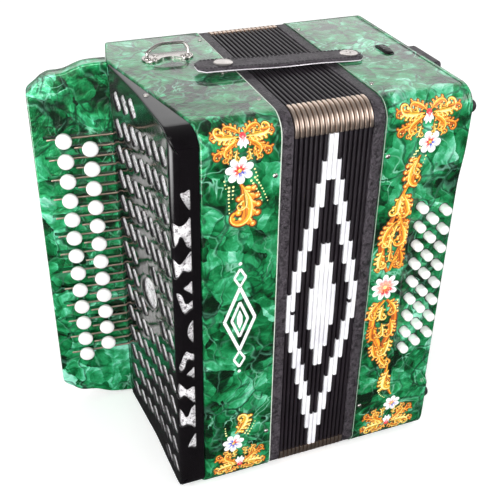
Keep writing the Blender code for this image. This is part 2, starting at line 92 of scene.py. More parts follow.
# ------------------------------------------------------------------ shader nodes
class Nodes:
    """Builds a node tree; values may be plain or sockets to link."""

    def __init__(self, owner):
        owner.use_nodes = True
        self.tree = owner.node_tree
        self.tree.nodes.clear()

    def put(self, sock, value):
        if hasattr(value, "is_linked"):
            self.tree.links.new(value, sock)
        elif isinstance(value, (tuple, list)) and len(value) == 3 and sock.type == "RGBA":
            sock.default_value = (*value, 1.0)
        else:
            sock.default_value = value

    def node(self, kind, ins=None, out=0, **props):
        """Adds a node and returns one of its outputs."""
        made = self.tree.nodes.new("ShaderNode" + kind)
        for key, value in props.items():
            setattr(made, key, value)
        for key, value in (ins or {}).items():
            self.put(made.inputs[key], value)
        return made.outputs[out]


class Shade(Nodes):
    """A Principled material."""

    def __init__(self, name):
        self.mat = bpy.data.materials.new(name)
        super().__init__(self.mat)
        out = self.tree.nodes.new("ShaderNodeOutputMaterial")
        self.surface = self.tree.nodes.new("ShaderNodeBsdfPrincipled")
        self.tree.links.new(self.surface.outputs[0], out.inputs[0])
        self.co = self.node("TexCoord", out="Object")

    def set(self, **values):
        for key, value in values.items():
            self.put(self.surface.inputs[key.replace("_", " ")], value)

    def noise(self, scale, detail=3.0, rough=0.5, warp=0.0, vec=None):
        return self.node("TexNoise", {"Vector": vec or self.co, "Scale": scale,
                                      "Detail": detail, "Roughness": rough,
                                      "Distortion": warp})

    def wobble(self, vec, scale, detail, reach):
        """A random offset, at most half of reach along each axis."""
        colour = self.node("TexNoise", {"Vector": vec, "Scale": scale, "Detail": detail}, 1)
        return self.vmath("SCALE", self.vmath("SUBTRACT", colour, (0.5, 0.5, 0.5)), reach)

    def cells(self, vec, scale, out=1):
        """Voronoi cells: 0 distance, 1 random colour, 2 position."""
        return self.node("TexVoronoi", {"Vector": vec, "Scale": scale}, out)

    def cell_edge(self, vec, scale):
        return self.node("TexVoronoi", {"Vector": vec, "Scale": scale},
                         feature="DISTANCE_TO_EDGE")

    def math(self, operation, first, second=0.0):
        return self.node("Math", {0: first, 1: second}, operation=operation)

    def vmath(self, operation, first, second):
        slot = "Scale" if operation == "SCALE" else 1
        return self.node("VectorMath", {0: first, slot: second}, operation=operation)

    def ramp(self, fac, stops):
        """Colour ramp through (position, grey or colour) stops."""
        made = self.tree.nodes.new("ShaderNodeValToRGB")
        elements = made.color_ramp.elements
        while len(elements) < len(stops):
            elements.new(0.5)
        for element, (place, c) in zip(elements, stops):
            element.position = place
            element.color = (c, c, c, 1.0) if isinstance(c, (int, float)) else (*c, 1.0)
        self.put(made.inputs[0], fac)
        return made.outputs[0]

    def line(self, fac, shoulder, strength, end):
        """1 where fac is 0, strength at the shoulder and 0 from the end on."""
        return self.ramp(fac, [(0.0, 1.0), (shoulder, strength), (end, 0.0)])

    def mix(self, fac, first, second, blend="MIX"):
        return self.node("Mix", {0: fac, 6: first, 7: second}, 2,
                         data_type="RGBA", blend_type=blend)

    def bump(self, height, strength, dist):
        return self.node("Bump", {"Height": height, "Strength": strength, "Distance": dist})


def scaled(colour, factor, lift=0.0):
    return tuple(min(c * factor + lift, 1.0) for c in colour)


# ------------------------------------------------------------------ materials
def celluloid(name, shift, bright=1.0):
    """Green pearled celluloid: crumpled foil-like facets under a clear gloss. A bright above 1
    makes a lighter copy, which paints in light.
    """
    s = Shade(name)
    co = s.vmath("ADD", s.co, (shift, shift * 0.7, shift * 1.3))
    warped = s.vmath("ADD", co, s.wobble(co, scale=21.0, detail=2.0, reach=0.026))
    crumpled = s.vmath("ADD", warped, s.wobble(co, scale=95.0, detail=3.0, reach=0.006))

    def facets(scale, vec):
        """Cells of random tone, each leaning its own way."""
        colour = s.cells(vec, scale)
        local = s.vmath("SUBTRACT", vec, colour.node.outputs[2])
        tilt = s.vmath("SUBTRACT", colour, (0.5, 0.5, 0.5))
        slope = s.node("VectorMath", {0: local, 1: tilt}, 1, operation="DOT_PRODUCT")
        lean = s.math("MULTIPLY", slope, scale * 1.5)
        tone = s.math("SUBTRACT", s.node("SeparateColor", {"Color": colour}), 0.5)
        return s.math("ADD", s.math("MULTIPLY", tone, 0.62), lean)

    big = facets(34.0, crumpled)
    mid = facets(78.0, s.vmath("ADD", crumpled, (0.07, 0.21, 0.13)))
    small = s.noise(120.0, detail=4.0, rough=0.6, warp=0.5, vec=warped)
    soft = s.noise(30.0, rough=0.55, warp=0.8, vec=warped)

    # the tone is a weighted sum of the four patterns, brought to about 0..1
    tone = s.math("MULTIPLY", s.math("SUBTRACT", soft, 0.5), 0.85)
    tone = s.math("ADD", s.math("MULTIPLY", s.math("SUBTRACT", small, 0.5), 0.80), tone)
    tone = s.math("ADD", s.math("MULTIPLY", mid, 0.32), tone)
    tone = s.math("ADD", s.math("MULTIPLY", big, 0.40), tone)
    tone = s.math("ADD", s.math("MULTIPLY", tone, 1.06), 0.495)
    col = s.ramp(tone, [(place, (red, green * bright, blue * bright))
                        for place, red, green, blue in (
                            (0.14, 0.0, 0.016, 0.004), (0.28, 0.0, 0.095, 0.022),
                            (0.42, 0.003, 0.200, 0.055), (0.55, 0.018, 0.320, 0.105),
                            (0.66, 0.040, 0.44, 0.180), (0.78, 0.15, 0.70, 0.40),
                            (0.92, 0.40, 0.94, 0.70))])

    # creases between facets, and a glint beside each crease
    edge = s.line(s.cell_edge(crumpled, 34.0), shoulder=0.018, strength=0.8, end=0.042)
    kinked = s.vmath("ADD", crumpled, s.wobble(co, scale=48.0, detail=1.0, reach=0.022))
    kinked = s.vmath("ADD", s.vmath("MULTIPLY", kinked, (1.0, 1.0, 0.62)), (0.4, 0.2, 0.9))
    crease = s.line(s.cell_edge(kinked, 52.0), shoulder=0.030, strength=0.9, end=0.062)
    beside = s.vmath("ADD", kinked, (0.0011, 0.0, 0.0010))
    glint = s.line(s.cell_edge(beside, 52.0), shoulder=0.030, strength=0.5, end=0.055)

    def contour(field, level, shoulder, end):
        off = s.math("ABSOLUTE", s.math("SUBTRACT", field, level))
        return s.line(off, shoulder, 0.8, end)

    dark_line = contour(s.noise(33.0, warp=0.7, vec=warped), 0.5, 0.009, 0.024)
    moved = s.vmath("ADD", warped, (0.31, 0.17, 0.05))
    pale_line = contour(s.noise(40.0, warp=0.8, vec=moved), 0.52, 0.008, 0.022)

    def patches(scale, warp, low, high, vec):
        """Broad areas where a kind of line shows."""
        return s.ramp(s.noise(scale, detail=2.0, warp=warp, vec=vec),
                      [(low, 0.0), (high, 1.0)])

    patch_a = patches(19.0, 0.6, 0.52, 0.62, co)
    patch_b = patches(23.0, 0.6, 0.47, 0.58, s.vmath("ADD", co, (0.5, 0.1, 0.2)))
    patch_c = patches(27.0, 0.4, 0.41, 0.55, s.vmath("ADD", co, (0.9, 0.3, 0.6)))
    for line, patch, amount, colour in (
            (dark_line, patch_b, 0.8, (0.0, 0.03, 0.010)),
            (pale_line, patch_a, 0.7, (0.36, 0.90, 0.64)),
            (glint, patch_c, 0.36, (0.26, 0.84, 0.54)),
            (crease, patch_c, 0.66, (0.0, 0.030, 0.010)),
            (edge, patch_b, 0.85, (0.0, 0.025, 0.009))):
        col = s.mix(s.math("MULTIPLY", s.math("MULTIPLY", line, patch), amount), col, colour)
    s.set(Base_Color=col, Metallic=0.30,
          Roughness=s.ramp(soft, [(0.3, 0.40), (0.7, 0.27)]),
          Normal=s.bump(tone, strength=0.42, dist=0.010),
          Coat_Weight=1.0, Coat_Roughness=0.03, Coat_IOR=1.5, Specular_IOR_Level=0.25)
    return s.mat


def plain(name, colour, rough, coat=0.0, vary=0.12, scale=120.0, grain=0.0,
          grain_scale=900.0, specular=0.5):
    """A surface with mottled colour, uneven roughness and a fine grain."""
    s = Shade(name)
    mottle = s.noise(scale, detail=4.0, rough=0.6, warp=0.3)
    col = s.ramp(mottle, [(0.3, scaled(colour, 1 - vary)), (0.7, scaled(colour, 1 + vary))])
    uneven = s.ramp(s.noise(scale * 2.3), [(0.3, max(rough - 0.06, 0.02)),
                                           (0.7, min(rough + 0.08, 1.0))])
    s.set(Base_Color=col, Roughness=uneven, Coat_Weight=coat, Coat_Roughness=0.05,
          Specular_IOR_Level=specular)
    if grain:
        fine = s.noise(grain_scale, detail=5.0, rough=0.6)
        s.set(Normal=s.bump(fine, grain, dist=0.0004))
    return s.mat


def leather(name, colour, rough, grain_scale, strength, mottle=0.0):
    """Pebbled leather: rounded grains with fine creases between them."""
    s = Shade(name)
    warped = s.vmath("ADD", s.co, s.wobble(s.co, scale=260.0, detail=2.0, reach=0.0022))
    grain = s.ramp(s.cell_edge(warped, grain_scale), [(0.0, 0.0), (0.12, 0.75), (0.4, 1.0)])
    wear = s.noise(70.0, detail=4.0, rough=0.6)
    col = s.ramp(wear, [(0.25, scaled(colour, 0.75)), (0.75, scaled(colour, 1.5))])
    crease = s.math("MULTIPLY", s.math("SUBTRACT", 1.0, grain), 0.55)
    col = s.mix(crease, col, scaled(colour, 0.25))
    swell = s.math("MULTIPLY", s.noise(150.0, detail=4.0, rough=0.6), 1.2)
    if mottle:
        blot = s.noise(310.0, rough=0.65, warp=0.8)
        pale = s.ramp(blot, [(0.42, 0.0), (0.64, mottle)])
        dark = s.ramp(blot, [(0.34, 0.9), (0.47, 0.0)])
        col = s.mix(pale, col, (0.19, 0.165, 0.19))
        col = s.mix(dark, col, (0.006, 0.004, 0.006))
    s.set(Base_Color=col,
          Roughness=s.ramp(wear, [(0.3, rough - 0.07), (0.7, rough + 0.1)]),
          Normal=s.bump(s.math("ADD", grain, swell), strength, dist=0.00035))
    return s.mat


def cloth(name, colour, rough, strength, specular=0.5, sheen=0.15):
    """Bookbinding cloth with a fine woven grain."""
    s = Shade(name)
    threads = []
    for direction in "ZX":
        wave = s.node("TexWave", {"Vector": s.co, "Scale": 260.0, "Distortion": 1.2,
                                  "Detail": 2.0}, 1, bands_direction=direction)
        threads.append(s.math("MULTIPLY", wave, 0.5))
    weave = s.math("ADD", *threads)
    pill = s.noise(330.0, detail=4.0, rough=0.65)
    col = s.ramp(s.noise(40.0), [(0.3, scaled(colour, 0.8)), (0.7, scaled(colour, 1.25))])
    col = s.mix(s.math("MULTIPLY", pill, 0.35), col, scaled(colour, 0.55))
    relief = s.math("ADD", weave, s.math("MULTIPLY", pill, 1.6))
    s.set(Base_Color=col, Roughness=rough, Normal=s.bump(relief, strength, dist=0.00035),
          Sheen_Weight=sheen, Specular_IOR_Level=specular)
    return s.mat


def glitter_cloth(name):
    """Silver-grey lurex: little mirror flakes at random angles on grey cloth."""
    s = Shade(name)
    fine = s.node("SeparateColor", {"Color": s.cells(s.co, 900.0)}, 0)
    coarse = s.node("SeparateColor", {"Color": s.cells(s.co, 420.0)}, 1)
    tone = s.math("ADD", s.math("MULTIPLY", fine, 0.6), s.math("MULTIPLY", coarse, 0.4))
    col = s.ramp(tone, [(0.14, (0.15, 0.14, 0.15)), (0.30, (0.60, 0.57, 0.59)),
                        (0.5, (0.88, 0.85, 0.87)), (0.78, (1.0, 0.99, 1.0))])
    patch = s.ramp(s.noise(95.0), [(0.34, 0.66), (0.5, 1.0)])
    s.set(Base_Color=s.mix(1.0, col, patch, "MULTIPLY"), Metallic=0.12, Roughness=0.36,
          Normal=s.bump(s.math("ADD", fine, coarse), strength=0.6, dist=0.0006))
    return s.mat


def brushed(name, colour, rough, along="Z", vary=0.18):
    """Rolled metal strip: long fine scratches, rubbed brighter in places."""
    s = Shade(name)
    stretch = (1.0, 1.0, 0.06) if along == "Z" else (0.06, 1.0, 1.0)
    stretched = s.node("Mapping", {"Vector": s.co, "Scale": stretch})
    scratch = s.noise(1500.0, rough=0.6, vec=stretched)
    rub = s.noise(130.0, detail=4.0, rough=0.6)
    tone = s.math("ADD", s.math("MULTIPLY", scratch, 0.5), s.math("MULTIPLY", rub, 0.5))
    col = s.ramp(tone, [(0.3, scaled(colour, 1 - vary)), (0.7, scaled(colour, 1 + vary))])
    s.set(Base_Color=col, Metallic=1.0,
          Roughness=s.ramp(rub, [(0.3, rough + 0.1), (0.7, rough)]),
          Normal=s.bump(scratch, strength=0.12, dist=0.0002))
    return s.mat


def paint(name, colour, vary=0.2):
    """Brushed-on lacquer colour, thicker and paler where the brush turned."""
    s = Shade(name)
    strokes = s.noise(180.0, rough=0.6, warp=1.5)
    col = s.ramp(strokes, [(0.32, scaled(colour, 1 - vary)),
                           (0.68, scaled(colour, 1 + vary, lift=0.01))])
    s.set(Base_Color=col, Roughness=0.42, Coat_Weight=0.35, Coat_Roughness=0.12,
          Normal=s.bump(strokes, strength=0.25, dist=0.0003))
    return s.mat


GREEN_T = celluloid("pearl_green_treble", shift=0.0)
GREEN_B = celluloid("pearl_green_bass", shift=0.371)
# painted light: the board is the same celluloid made lighter in green and blue, for the light
# falling on it from the left and below
GREEN_F_PAINTED_LIGHTER = celluloid("pearl_green_board_painted_light", shift=0.813, bright=1.1)
BLACK = plain("black_gloss_plastic", (0.0035, 0.0026, 0.0035), rough=0.13, coat=0.35,
              vary=0.25, scale=60.0, grain=0.05, grain_scale=240.0, specular=0.28)
FRAME_LEATHER = leather("frame_leatherette", (0.031, 0.024, 0.031), rough=0.40,
                        grain_scale=520.0, strength=0.9, mottle=0.32)
STRAP_LEATHER = leather("strap_leather", (0.034, 0.025, 0.034), rough=0.42,
                        grain_scale=560.0, strength=0.6, mottle=0.25)
PAD_LEATHER = leather("hand_strap_leather", (0.030, 0.024, 0.028), rough=0.5,
                      grain_scale=480.0, strength=0.6)
LINING = cloth("strap_lining", (0.74, 0.70, 0.74), rough=0.7, strength=0.4)
FOLD = cloth("bellows_cloth", (0.016, 0.012, 0.016), rough=0.38, strength=0.4,
             specular=0.42, sheen=0.0)
# painted shade: the groove cloth is the bellows cloth made far darker and duller, so the gaps
# between the folds read black
GUSSET_PAINTED_SHADE = cloth("bellows_gusset", (0.0015, 0.001, 0.0015), rough=0.9, strength=0.5,
               specular=0.03, sheen=0.0)
WHITE_CLOTH = cloth("white_band_cloth", (0.88, 0.87, 0.93), rough=0.5, strength=0.25)
GOLD = brushed("rose_gold_strip", (0.70, 0.56, 0.47), rough=0.30)
NICKEL = brushed("nickel", (0.60, 0.565, 0.54), rough=0.24, along="X", vary=0.14)
STEEL = brushed("lever_steel", (0.52, 0.39, 0.31), rough=0.34, along="X", vary=0.2)
CREAM = plain("cream_edging", (0.56, 0.64, 0.55), rough=0.35, coat=0.3, vary=0.1)
# painted shade: the bass edging is the same edging as the cream one, coloured darker
TRIM_PAINTED_SHADE = plain("edging_painted_shade", (0.26, 0.33, 0.27), rough=0.45, vary=0.15)
IVORY = plain("ivory_button", (0.90, 0.895, 0.875), rough=0.22, coat=0.6, vary=0.025,
              scale=90.0, grain=0.03, grain_scale=300.0)
BUSH = plain("black_felt", (0.012, 0.012, 0.012), rough=0.9, grain=0.5,
             grain_scale=1500.0)
GLITTER = glitter_cloth("glitter_cloth")
WOOD = plain("pallet_wood", (0.45, 0.30, 0.16), rough=0.5, vary=0.25, scale=220.0)
FELT = plain("pallet_felt", (0.45, 0.06, 0.05), rough=0.95, vary=0.2, grain=0.6,
             grain_scale=1600.0)
THREAD = plain("stitch_thread", (0.030, 0.026, 0.030), rough=0.5, vary=0.2, grain=0.3,
               grain_scale=1500.0)
RUBBER = plain("rubber_foot", (0.018, 0.016, 0.018), rough=0.5, grain=0.2,
               grain_scale=700.0)
PAINTS = {
    "orange": paint("paint_orange", (0.83, 0.235, 0.010)),
    "rust": paint("paint_rust", (0.55, 0.115, 0.006)),
    "gold": paint("paint_gold", (0.93, 0.47, 0.025)),
    "yellow": paint("paint_yellow", (0.95, 0.78, 0.24)),
    "brown": paint("paint_brown", (0.13, 0.028, 0.004)),
    "white": paint("paint_white", (0.90, 0.90, 0.90), vary=0.05),
    "red": paint("paint_red", (0.72, 0.03, 0.05)),
    "pink": paint("paint_pink", (0.86, 0.33, 0.30)),
    "blue": paint("paint_blue", (0.05, 0.10, 0.62)),
    "lime": paint("paint_pale_yellow", (0.86, 0.90, 0.36)),
}


# ------------------------------------------------------------------ meshes
def circle(radius, steps):
    return [(radius * math.cos(angle), radius * math.sin(angle))
            for angle in (2 * math.pi * i / steps for i in range(steps))]


class Geo:
    """Vertices and faces of one mesh, filled shape by shape."""

    def __init__(self):
        self.verts, self.faces = [], []

    def point(self, x, y, z):
        self.verts.append(((x + SHIFT) * MM, y * MM, z * MM))
        return len(self.verts) - 1

    def loft(self, loops, ring=False):
        """Skin over closed loops; a ring joins the last to the first, else both get caps."""
        rows = [[self.point(*co) for co in loop] for loop in loops]
        for row, after in zip(rows, rows[1:] + (rows[:1] if ring else [])):
            count = len(row)
            for i in range(count):
                j = (i + 1) % count
                self.faces.append((row[i], row[j], after[j], after[i]))
        if not ring:
            self.faces.append(tuple(rows[0]))
            self.faces.append(tuple(reversed(rows[-1])))

    def tube(self, path, section, side=None, scale=None):
        """Sweep a closed section [(a, b)] along path; a lies along side when given."""
        pts = [Vector(co) for co in path]
        last = len(pts) - 1
        held = Vector(side).normalized() if side is not None else None
        loops = []
        for i, co in enumerate(pts):
            run = pts[min(i + 1, last)] - pts[max(i - 1, 0)]
            run.normalize()
            if held is None:
                held = run.orthogonal().normalized()
            across = held - run * held.dot(run)
            across.normalize()
            if side is None:
                held = across
            over = run.cross(across)
            size = scale[i] if scale else 1.0
            loops.append([tuple(co + across * (a * size) + over * (b * size))
                          for a, b in section])
        self.loft(loops)

    def lathe(self, profile, centre, axis, steps):
        """Turn a profile of (radius, distance along axis); both ends closed."""
        axis = Vector(axis).normalized()
        first = axis.orthogonal().normalized()
        second = axis.cross(first)
        centre = Vector(centre)
        self.loft([[tuple(centre + axis * along + first * a + second * b)
                    for a, b in circle(max(radius, 0.02), steps)]
                   for radius, along in profile])


def shade(mesh, angle):
    mesh.shade_smooth()
    mesh.set_sharp_from_angle(angle=math.radians(angle))


def place(name, mesh, mat, body, angle, slot, replaces):
    shade(mesh, angle)
    mesh.materials.clear()
    mesh.materials.append(mat)
    obj = bpy.data.objects.new(name, mesh)
    bpy.context.scene.collection.objects.link(obj)
    if body:
        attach(obj, body)
    if replaces:
        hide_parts(*replaces)
    return obj


def make(name, geo, mat, body=None, angle=35.0, slot=None, replaces=()):
    """An object from geo; edges sharper than angle stay sharp."""
    mesh = bpy.data.meshes.new(name)
    mesh.from_pydata(geo.verts, [], geo.faces)
    bm = bmesh.new()
    bm.from_mesh(mesh)
    bmesh.ops.remove_doubles(bm, verts=bm.verts, dist=1e-7)
    bmesh.ops.recalc_face_normals(bm, faces=bm.faces)
    bm.to_mesh(mesh)
    bm.free()
    return place(name, mesh, mat, body, angle, slot, replaces)


def make_loft(name, loops, mat, body, angle, slot=None, replaces=(), ring=False):
    geo = Geo()
    geo.loft(loops, ring)
    return make(name, geo, mat, body, angle, slot, replaces)


def make_turned(name, profile, centre, axis, steps, mat, body, angle, slot=None,
                replaces=()):
    geo = Geo()
    geo.lathe(profile, centre, axis, steps)
    return make(name, geo, mat, body, angle, slot, replaces)


def cut(obj, geo):
    """Take the closed shapes in geo out of obj."""
    tool = make("cutter", geo, BLACK)
    mat = obj.data.materials[0]
    mod = obj.modifiers.new("cut", "BOOLEAN")
    mod.operation = "DIFFERENCE"
    mod.solver = "EXACT"
    mod.object = tool
    bpy.context.view_layer.update()
    depsgraph = bpy.context.evaluated_depsgraph_get()
    mesh = bpy.data.meshes.new_from_object(obj.evaluated_get(depsgraph))
    old = obj.data
    obj.modifiers.clear()
    obj.data = mesh
    bm = bmesh.new()
    bm.from_mesh(mesh)
    bmesh.ops.remove_doubles(bm, verts=bm.verts, dist=2e-7)
    bmesh.ops.dissolve_degenerate(bm, edges=bm.edges, dist=2e-7)
    bm.to_mesh(mesh)
    bm.free()
    shade(mesh, 40.0)
    bpy.data.meshes.remove(old)
    mesh.materials.clear()
    mesh.materials.append(mat)
    for face in mesh.polygons:
        face.material_index = 0
    bpy.data.objects.remove(tool, do_unlink=True)


def rrect(y0, y1, z0, z1, r, steps):
    """Rounded rectangle in (y, z), corner by corner from the upper back one."""
    pts = []
    for cy, cz, start in ((y1 - r, z1 - r, 0.0), (y0 + r, z1 - r, 90.0),
                          (y0 + r, z0 + r, 180.0), (y1 - r, z0 + r, 270.0)):
        for i in range(steps + 1):
            angle = math.radians(start + 90.0 * i / steps)
            pts.append((cy + r * math.cos(angle), cz + r * math.sin(angle)))
    return pts


def outline(inset, steps=CORNER_STEPS):
    """Outline of the whole instrument seen from the side, moved inwards."""
    r = max(CORNER_R - inset, 1.2)
    return rrect(FRONT + inset, BACK - inset, inset, HEIGHT - inset, r, steps)


def ring_at(pts, x):
    """(y, z) points set at x, which may be a function of y."""
    return [(x(y) if callable(x) else x, y, z) for y, z in pts]


def mirrored(half):
    """(u, v) points from -u to +u; half is given from the outer end to the middle."""
    return [(-u, v) for u, v in half] + [(u, v) for u, v in reversed(half) if u]


def quarter(distance, r):
    """Fall of a quarter round of radius r, at a distance from its outer end."""
    if distance >= r:
        return 0.0
    return r - math.sqrt(max(r * r - (r - distance) ** 2, 0.0))


def spline(pts, per, closed=False):
    """Catmull-Rom through 2-D or 3-D points, per steps for each span."""
    out = []
    count = len(pts)
    for i in range(count if closed else count - 1):
        before = pts[(i - 1) % count] if (closed or i > 0) else pts[0]
        after = pts[(i + 2) % count] if (closed or i + 2 < count) else pts[-1]
        for k in range(per):
            t = k / per
            out.append(tuple(
                0.5 * ((2 * b) + (-a + c) * t + (2 * a - 5 * b + 4 * c - d) * t * t
                       + (-a + 3 * b - 3 * c + d) * t ** 3)
                for a, b, c, d in zip(before, pts[i], pts[(i + 1) % count], after)))
    if not closed:
        out.append(tuple(pts[-1]))
    return out


# ------------------------------------------------------------------ treble case
BEND_Y = 47.0       # the open left side bends here
DECK = 13.25        # the deck under the pallets, inwards from the open side
BACK_EDGE_R = 11.0  # rounding of the upright edge between the open side and the back


def treble_x(y):
    """The open side widens back to the bend, then narrows again."""
    return -99.5 - 39.6 * (min(y, BEND_Y) - FRONT) / DEPTH + 0.222 * max(y - BEND_Y, 0.0)


def bent(pts, y, inset):
    """Adds a point at y to the upper and lower side of an outline."""
    corner = len(pts) // 4
    return (pts[:corner] + [(y, HEIGHT - inset)] + pts[corner:3 * corner] + [(y, inset)]
            + pts[3 * corner:])


def build_treble_case():
    def side(y):
        return treble_x(y) + quarter(BACK - y, BACK_EDGE_R)

    def case(inset, x):
        return ring_at(bent(outline(inset), BEND_Y, inset), x)

    def strip(back, inset):
        """Outline whose back edge stands further in than its other edges."""
        pts = rrect(FRONT + inset, BACK - back, inset, HEIGHT - inset, CORNER_R - inset,
                    CORNER_STEPS)
        return ring_at(bent(pts, BEND_Y, inset), side)

    opening = bent(rrect(FRONT + 8.0, 46.0, 8.0, HEIGHT - 8.0, 9.0, CORNER_STEPS), 30.0, 8.0)
    rim = bent(rrect(FRONT + 5.0, 47.0, 5.0, HEIGHT - 5.0, 3.0, CORNER_STEPS), 43.9, 5.0)
    loops = [ring_at(opening, lambda y: treble_x(y) + DECK),
             ring_at(opening, treble_x),
             ring_at(rim, treble_x),
             strip(13.0, 4.2), strip(10.5, 3.8), strip(8.0, 3.2), strip(5.6, 2.7),
             strip(3.6, 2.1),
             case(1.6, side),
             case(0.75, lambda y: max(treble_x(y) + 0.2, side(y))),
             case(0.2, lambda y: max(treble_x(y) + 0.75, side(y))),
             case(0.0, lambda y: max(treble_x(y) + 1.6, side(y))),
             case(0.0, -CASE_START - 1.5),
             case(0.3, -CASE_START),
             case(6.0, -CASE_START),
             case(6.0, lambda y: treble_x(y) + DECK + 5.0)]
    make_loft("treble_case_shell", loops, GREEN_T, TREBLE, 50.0, "celluloid_green",
              ("treble_case",))


def side_rings(side, stations):
    """Outlines at (inset, distance from the middle); side is -1 treble, +1 bass."""
    return [ring_at(outline(inset), side * out) for inset, out in stations]


def build_bellows_frame(name, side, body):
    """Bellows frame: leatherette-covered wooden ring beside the case."""
    stations = ((0.95, CASE_START - 0.15), (0.7, CASE_START - 0.5), (0.7, FRAME_START + 0.9),
                (0.9, FRAME_START + 0.3), (1.5, FRAME_START), (5.8, FRAME_START),
                (5.8, CASE_START - 0.15))
    make_loft(name, side_rings(side, stations), FRAME_LEATHER, body, 40.0, "bellows_cloth",
              ring=True)


def build_trim(name, side, body, width, mat):
    """Thin edging round the case, next to the bellows frame."""
    stations = [(inset, CASE_START + out) for inset, out in (
        (0.5, 0.0), (-0.02, 0.05), (-0.14, 0.3 * width), (-0.14, 0.7 * width),
        (-0.02, 0.96 * width), (0.5, width))]
    make_loft(name, side_rings(side, stations), mat, body, 60.0, ring=True)


# ------------------------------------------------------------------ fingerboard
BOARD = (-127.0, 44.5)         # a point of its front face, in (x, y)
TILT = math.radians(8.32)      # it runs left and a little back
ALONG = (-math.cos(TILT), math.sin(TILT))
INTO = (math.sin(TILT), math.cos(TILT))
BOARD_T = 14.0
KEYS = 25
# upper edge: (distance along the board, z); the lower edge mirrors it
BOARD_TOP = [(65.5, 313.5), (65.3, 315.6), (64.2, 318.2), (61.4, 320.9), (57.5, 323.8),
             (53.9, 327.0), (50.8, 329.0), (46.5, 330.6), (39.0, 331.1), (33.5, 332.3),
             (27.0, 335.0), (20.5, 337.2), (12.0, 338.2)]


def on_board(along, deep):
    return (BOARD[0] + ALONG[0] * along + INTO[0] * deep,
            BOARD[1] + ALONG[1] * along + INTO[1] * deep)


def board_start(deep):
    """Where the board meets the case, found step by step."""
    along = 0.0
    for _ in range(40):
        x, y = on_board(along, deep)
        along += (x - (treble_x(y) - 0.3)) * 0.9
    return along


def key_z(k):
    return HEIGHT / 2 + 9.06 * (12 - k)


def build_fingerboard():
    top = spline(BOARD_TOP, 4)
    last = len(top) - 1
    loops = []
    # (depth from the front face, inset of the outline)
    for deep, inset in ((0.0, 1.5), (0.2, 0.75), (0.75, 0.2), (1.5, 0.0), (2.3, 0.0),
                        (BOARD_T - 1.5, 0.0), (BOARD_T - 0.75, 0.2), (BOARD_T - 0.2, 0.75),
                        (BOARD_T, 1.5)):
        row = []
        for i, (along, z) in enumerate(top):
            before, after = top[max(i - 1, 0)], top[min(i + 1, last)]
            run, rise = after[0] - before[0], after[1] - before[1]
            length = math.hypot(run, rise)
            # outward is towards the left end and up
            out_along, out_z = (rise / length, -run / length) if i else (1.0, 0.0)
            row.append((along - out_along * inset, z - out_z * inset))
        row.append((board_start(deep), 338.4 - inset))
        ring = row + [(along, HEIGHT - z) for along, z in reversed(row)]
        loops.append([(*on_board(along, deep), z) for along, z in ring])
    board = make_loft("fingerboard_shell", loops, GREEN_F_PAINTED_LIGHTER, TREBLE, 40.0, "celluloid_green",
                      ("fingerboard",))
    # a slot for each lever, longer for the outer row
    slots = Geo()
    for k in range(KEYS):
        end = 56.5 if k % 2 == 0 else 35.5
        ring = ((-14.0, -8.0), (end, -8.0), (end, 3.6), (end - 0.6, 4.6), (-14.0, 4.6))
        slots.loft([[(*on_board(along, deep), z) for along, deep in ring]
                    for z in (key_z(k) - 1.5, key_z(k) + 1.5)])
    cut(board, slots)


# ------------------------------------------------------------------ treble keys
PIVOT = Vector((-121.0, 42.3))          # of all levers, in (x, y)
LEVER_TILT = math.radians(4.95)
LEVER = Vector((-math.cos(LEVER_TILT), math.sin(LEVER_TILT)))
FACE = Vector((-math.sin(TILT), -math.cos(TILT), 0.0))
# per row: button x, lever end x, pallet front y and back y
OUTER_ROW = (-167.7, -181.0, -78.0, -38.0)
INNER_ROW = (-147.3, -160.0, -26.0, 8.0)
BUTTON_PROFILE = [(1.5, 0.2), (2.1, 0.4), (2.1, 2.8), (3.2, 2.95), (4.8, 3.0), (5.9, 3.2),
                  (6.5, 3.7), (6.7, 4.4), (6.7, 5.9), (6.55, 6.6), (6.15, 7.2), (5.4, 7.58),
                  (4.0, 7.78), (2.1, 7.86), (0.02, 7.88)]


def over_deck(y, height):
    """(x, y) at a height above the treble deck, towards the open side."""
    return Vector((treble_x(y) + DECK - height, y))


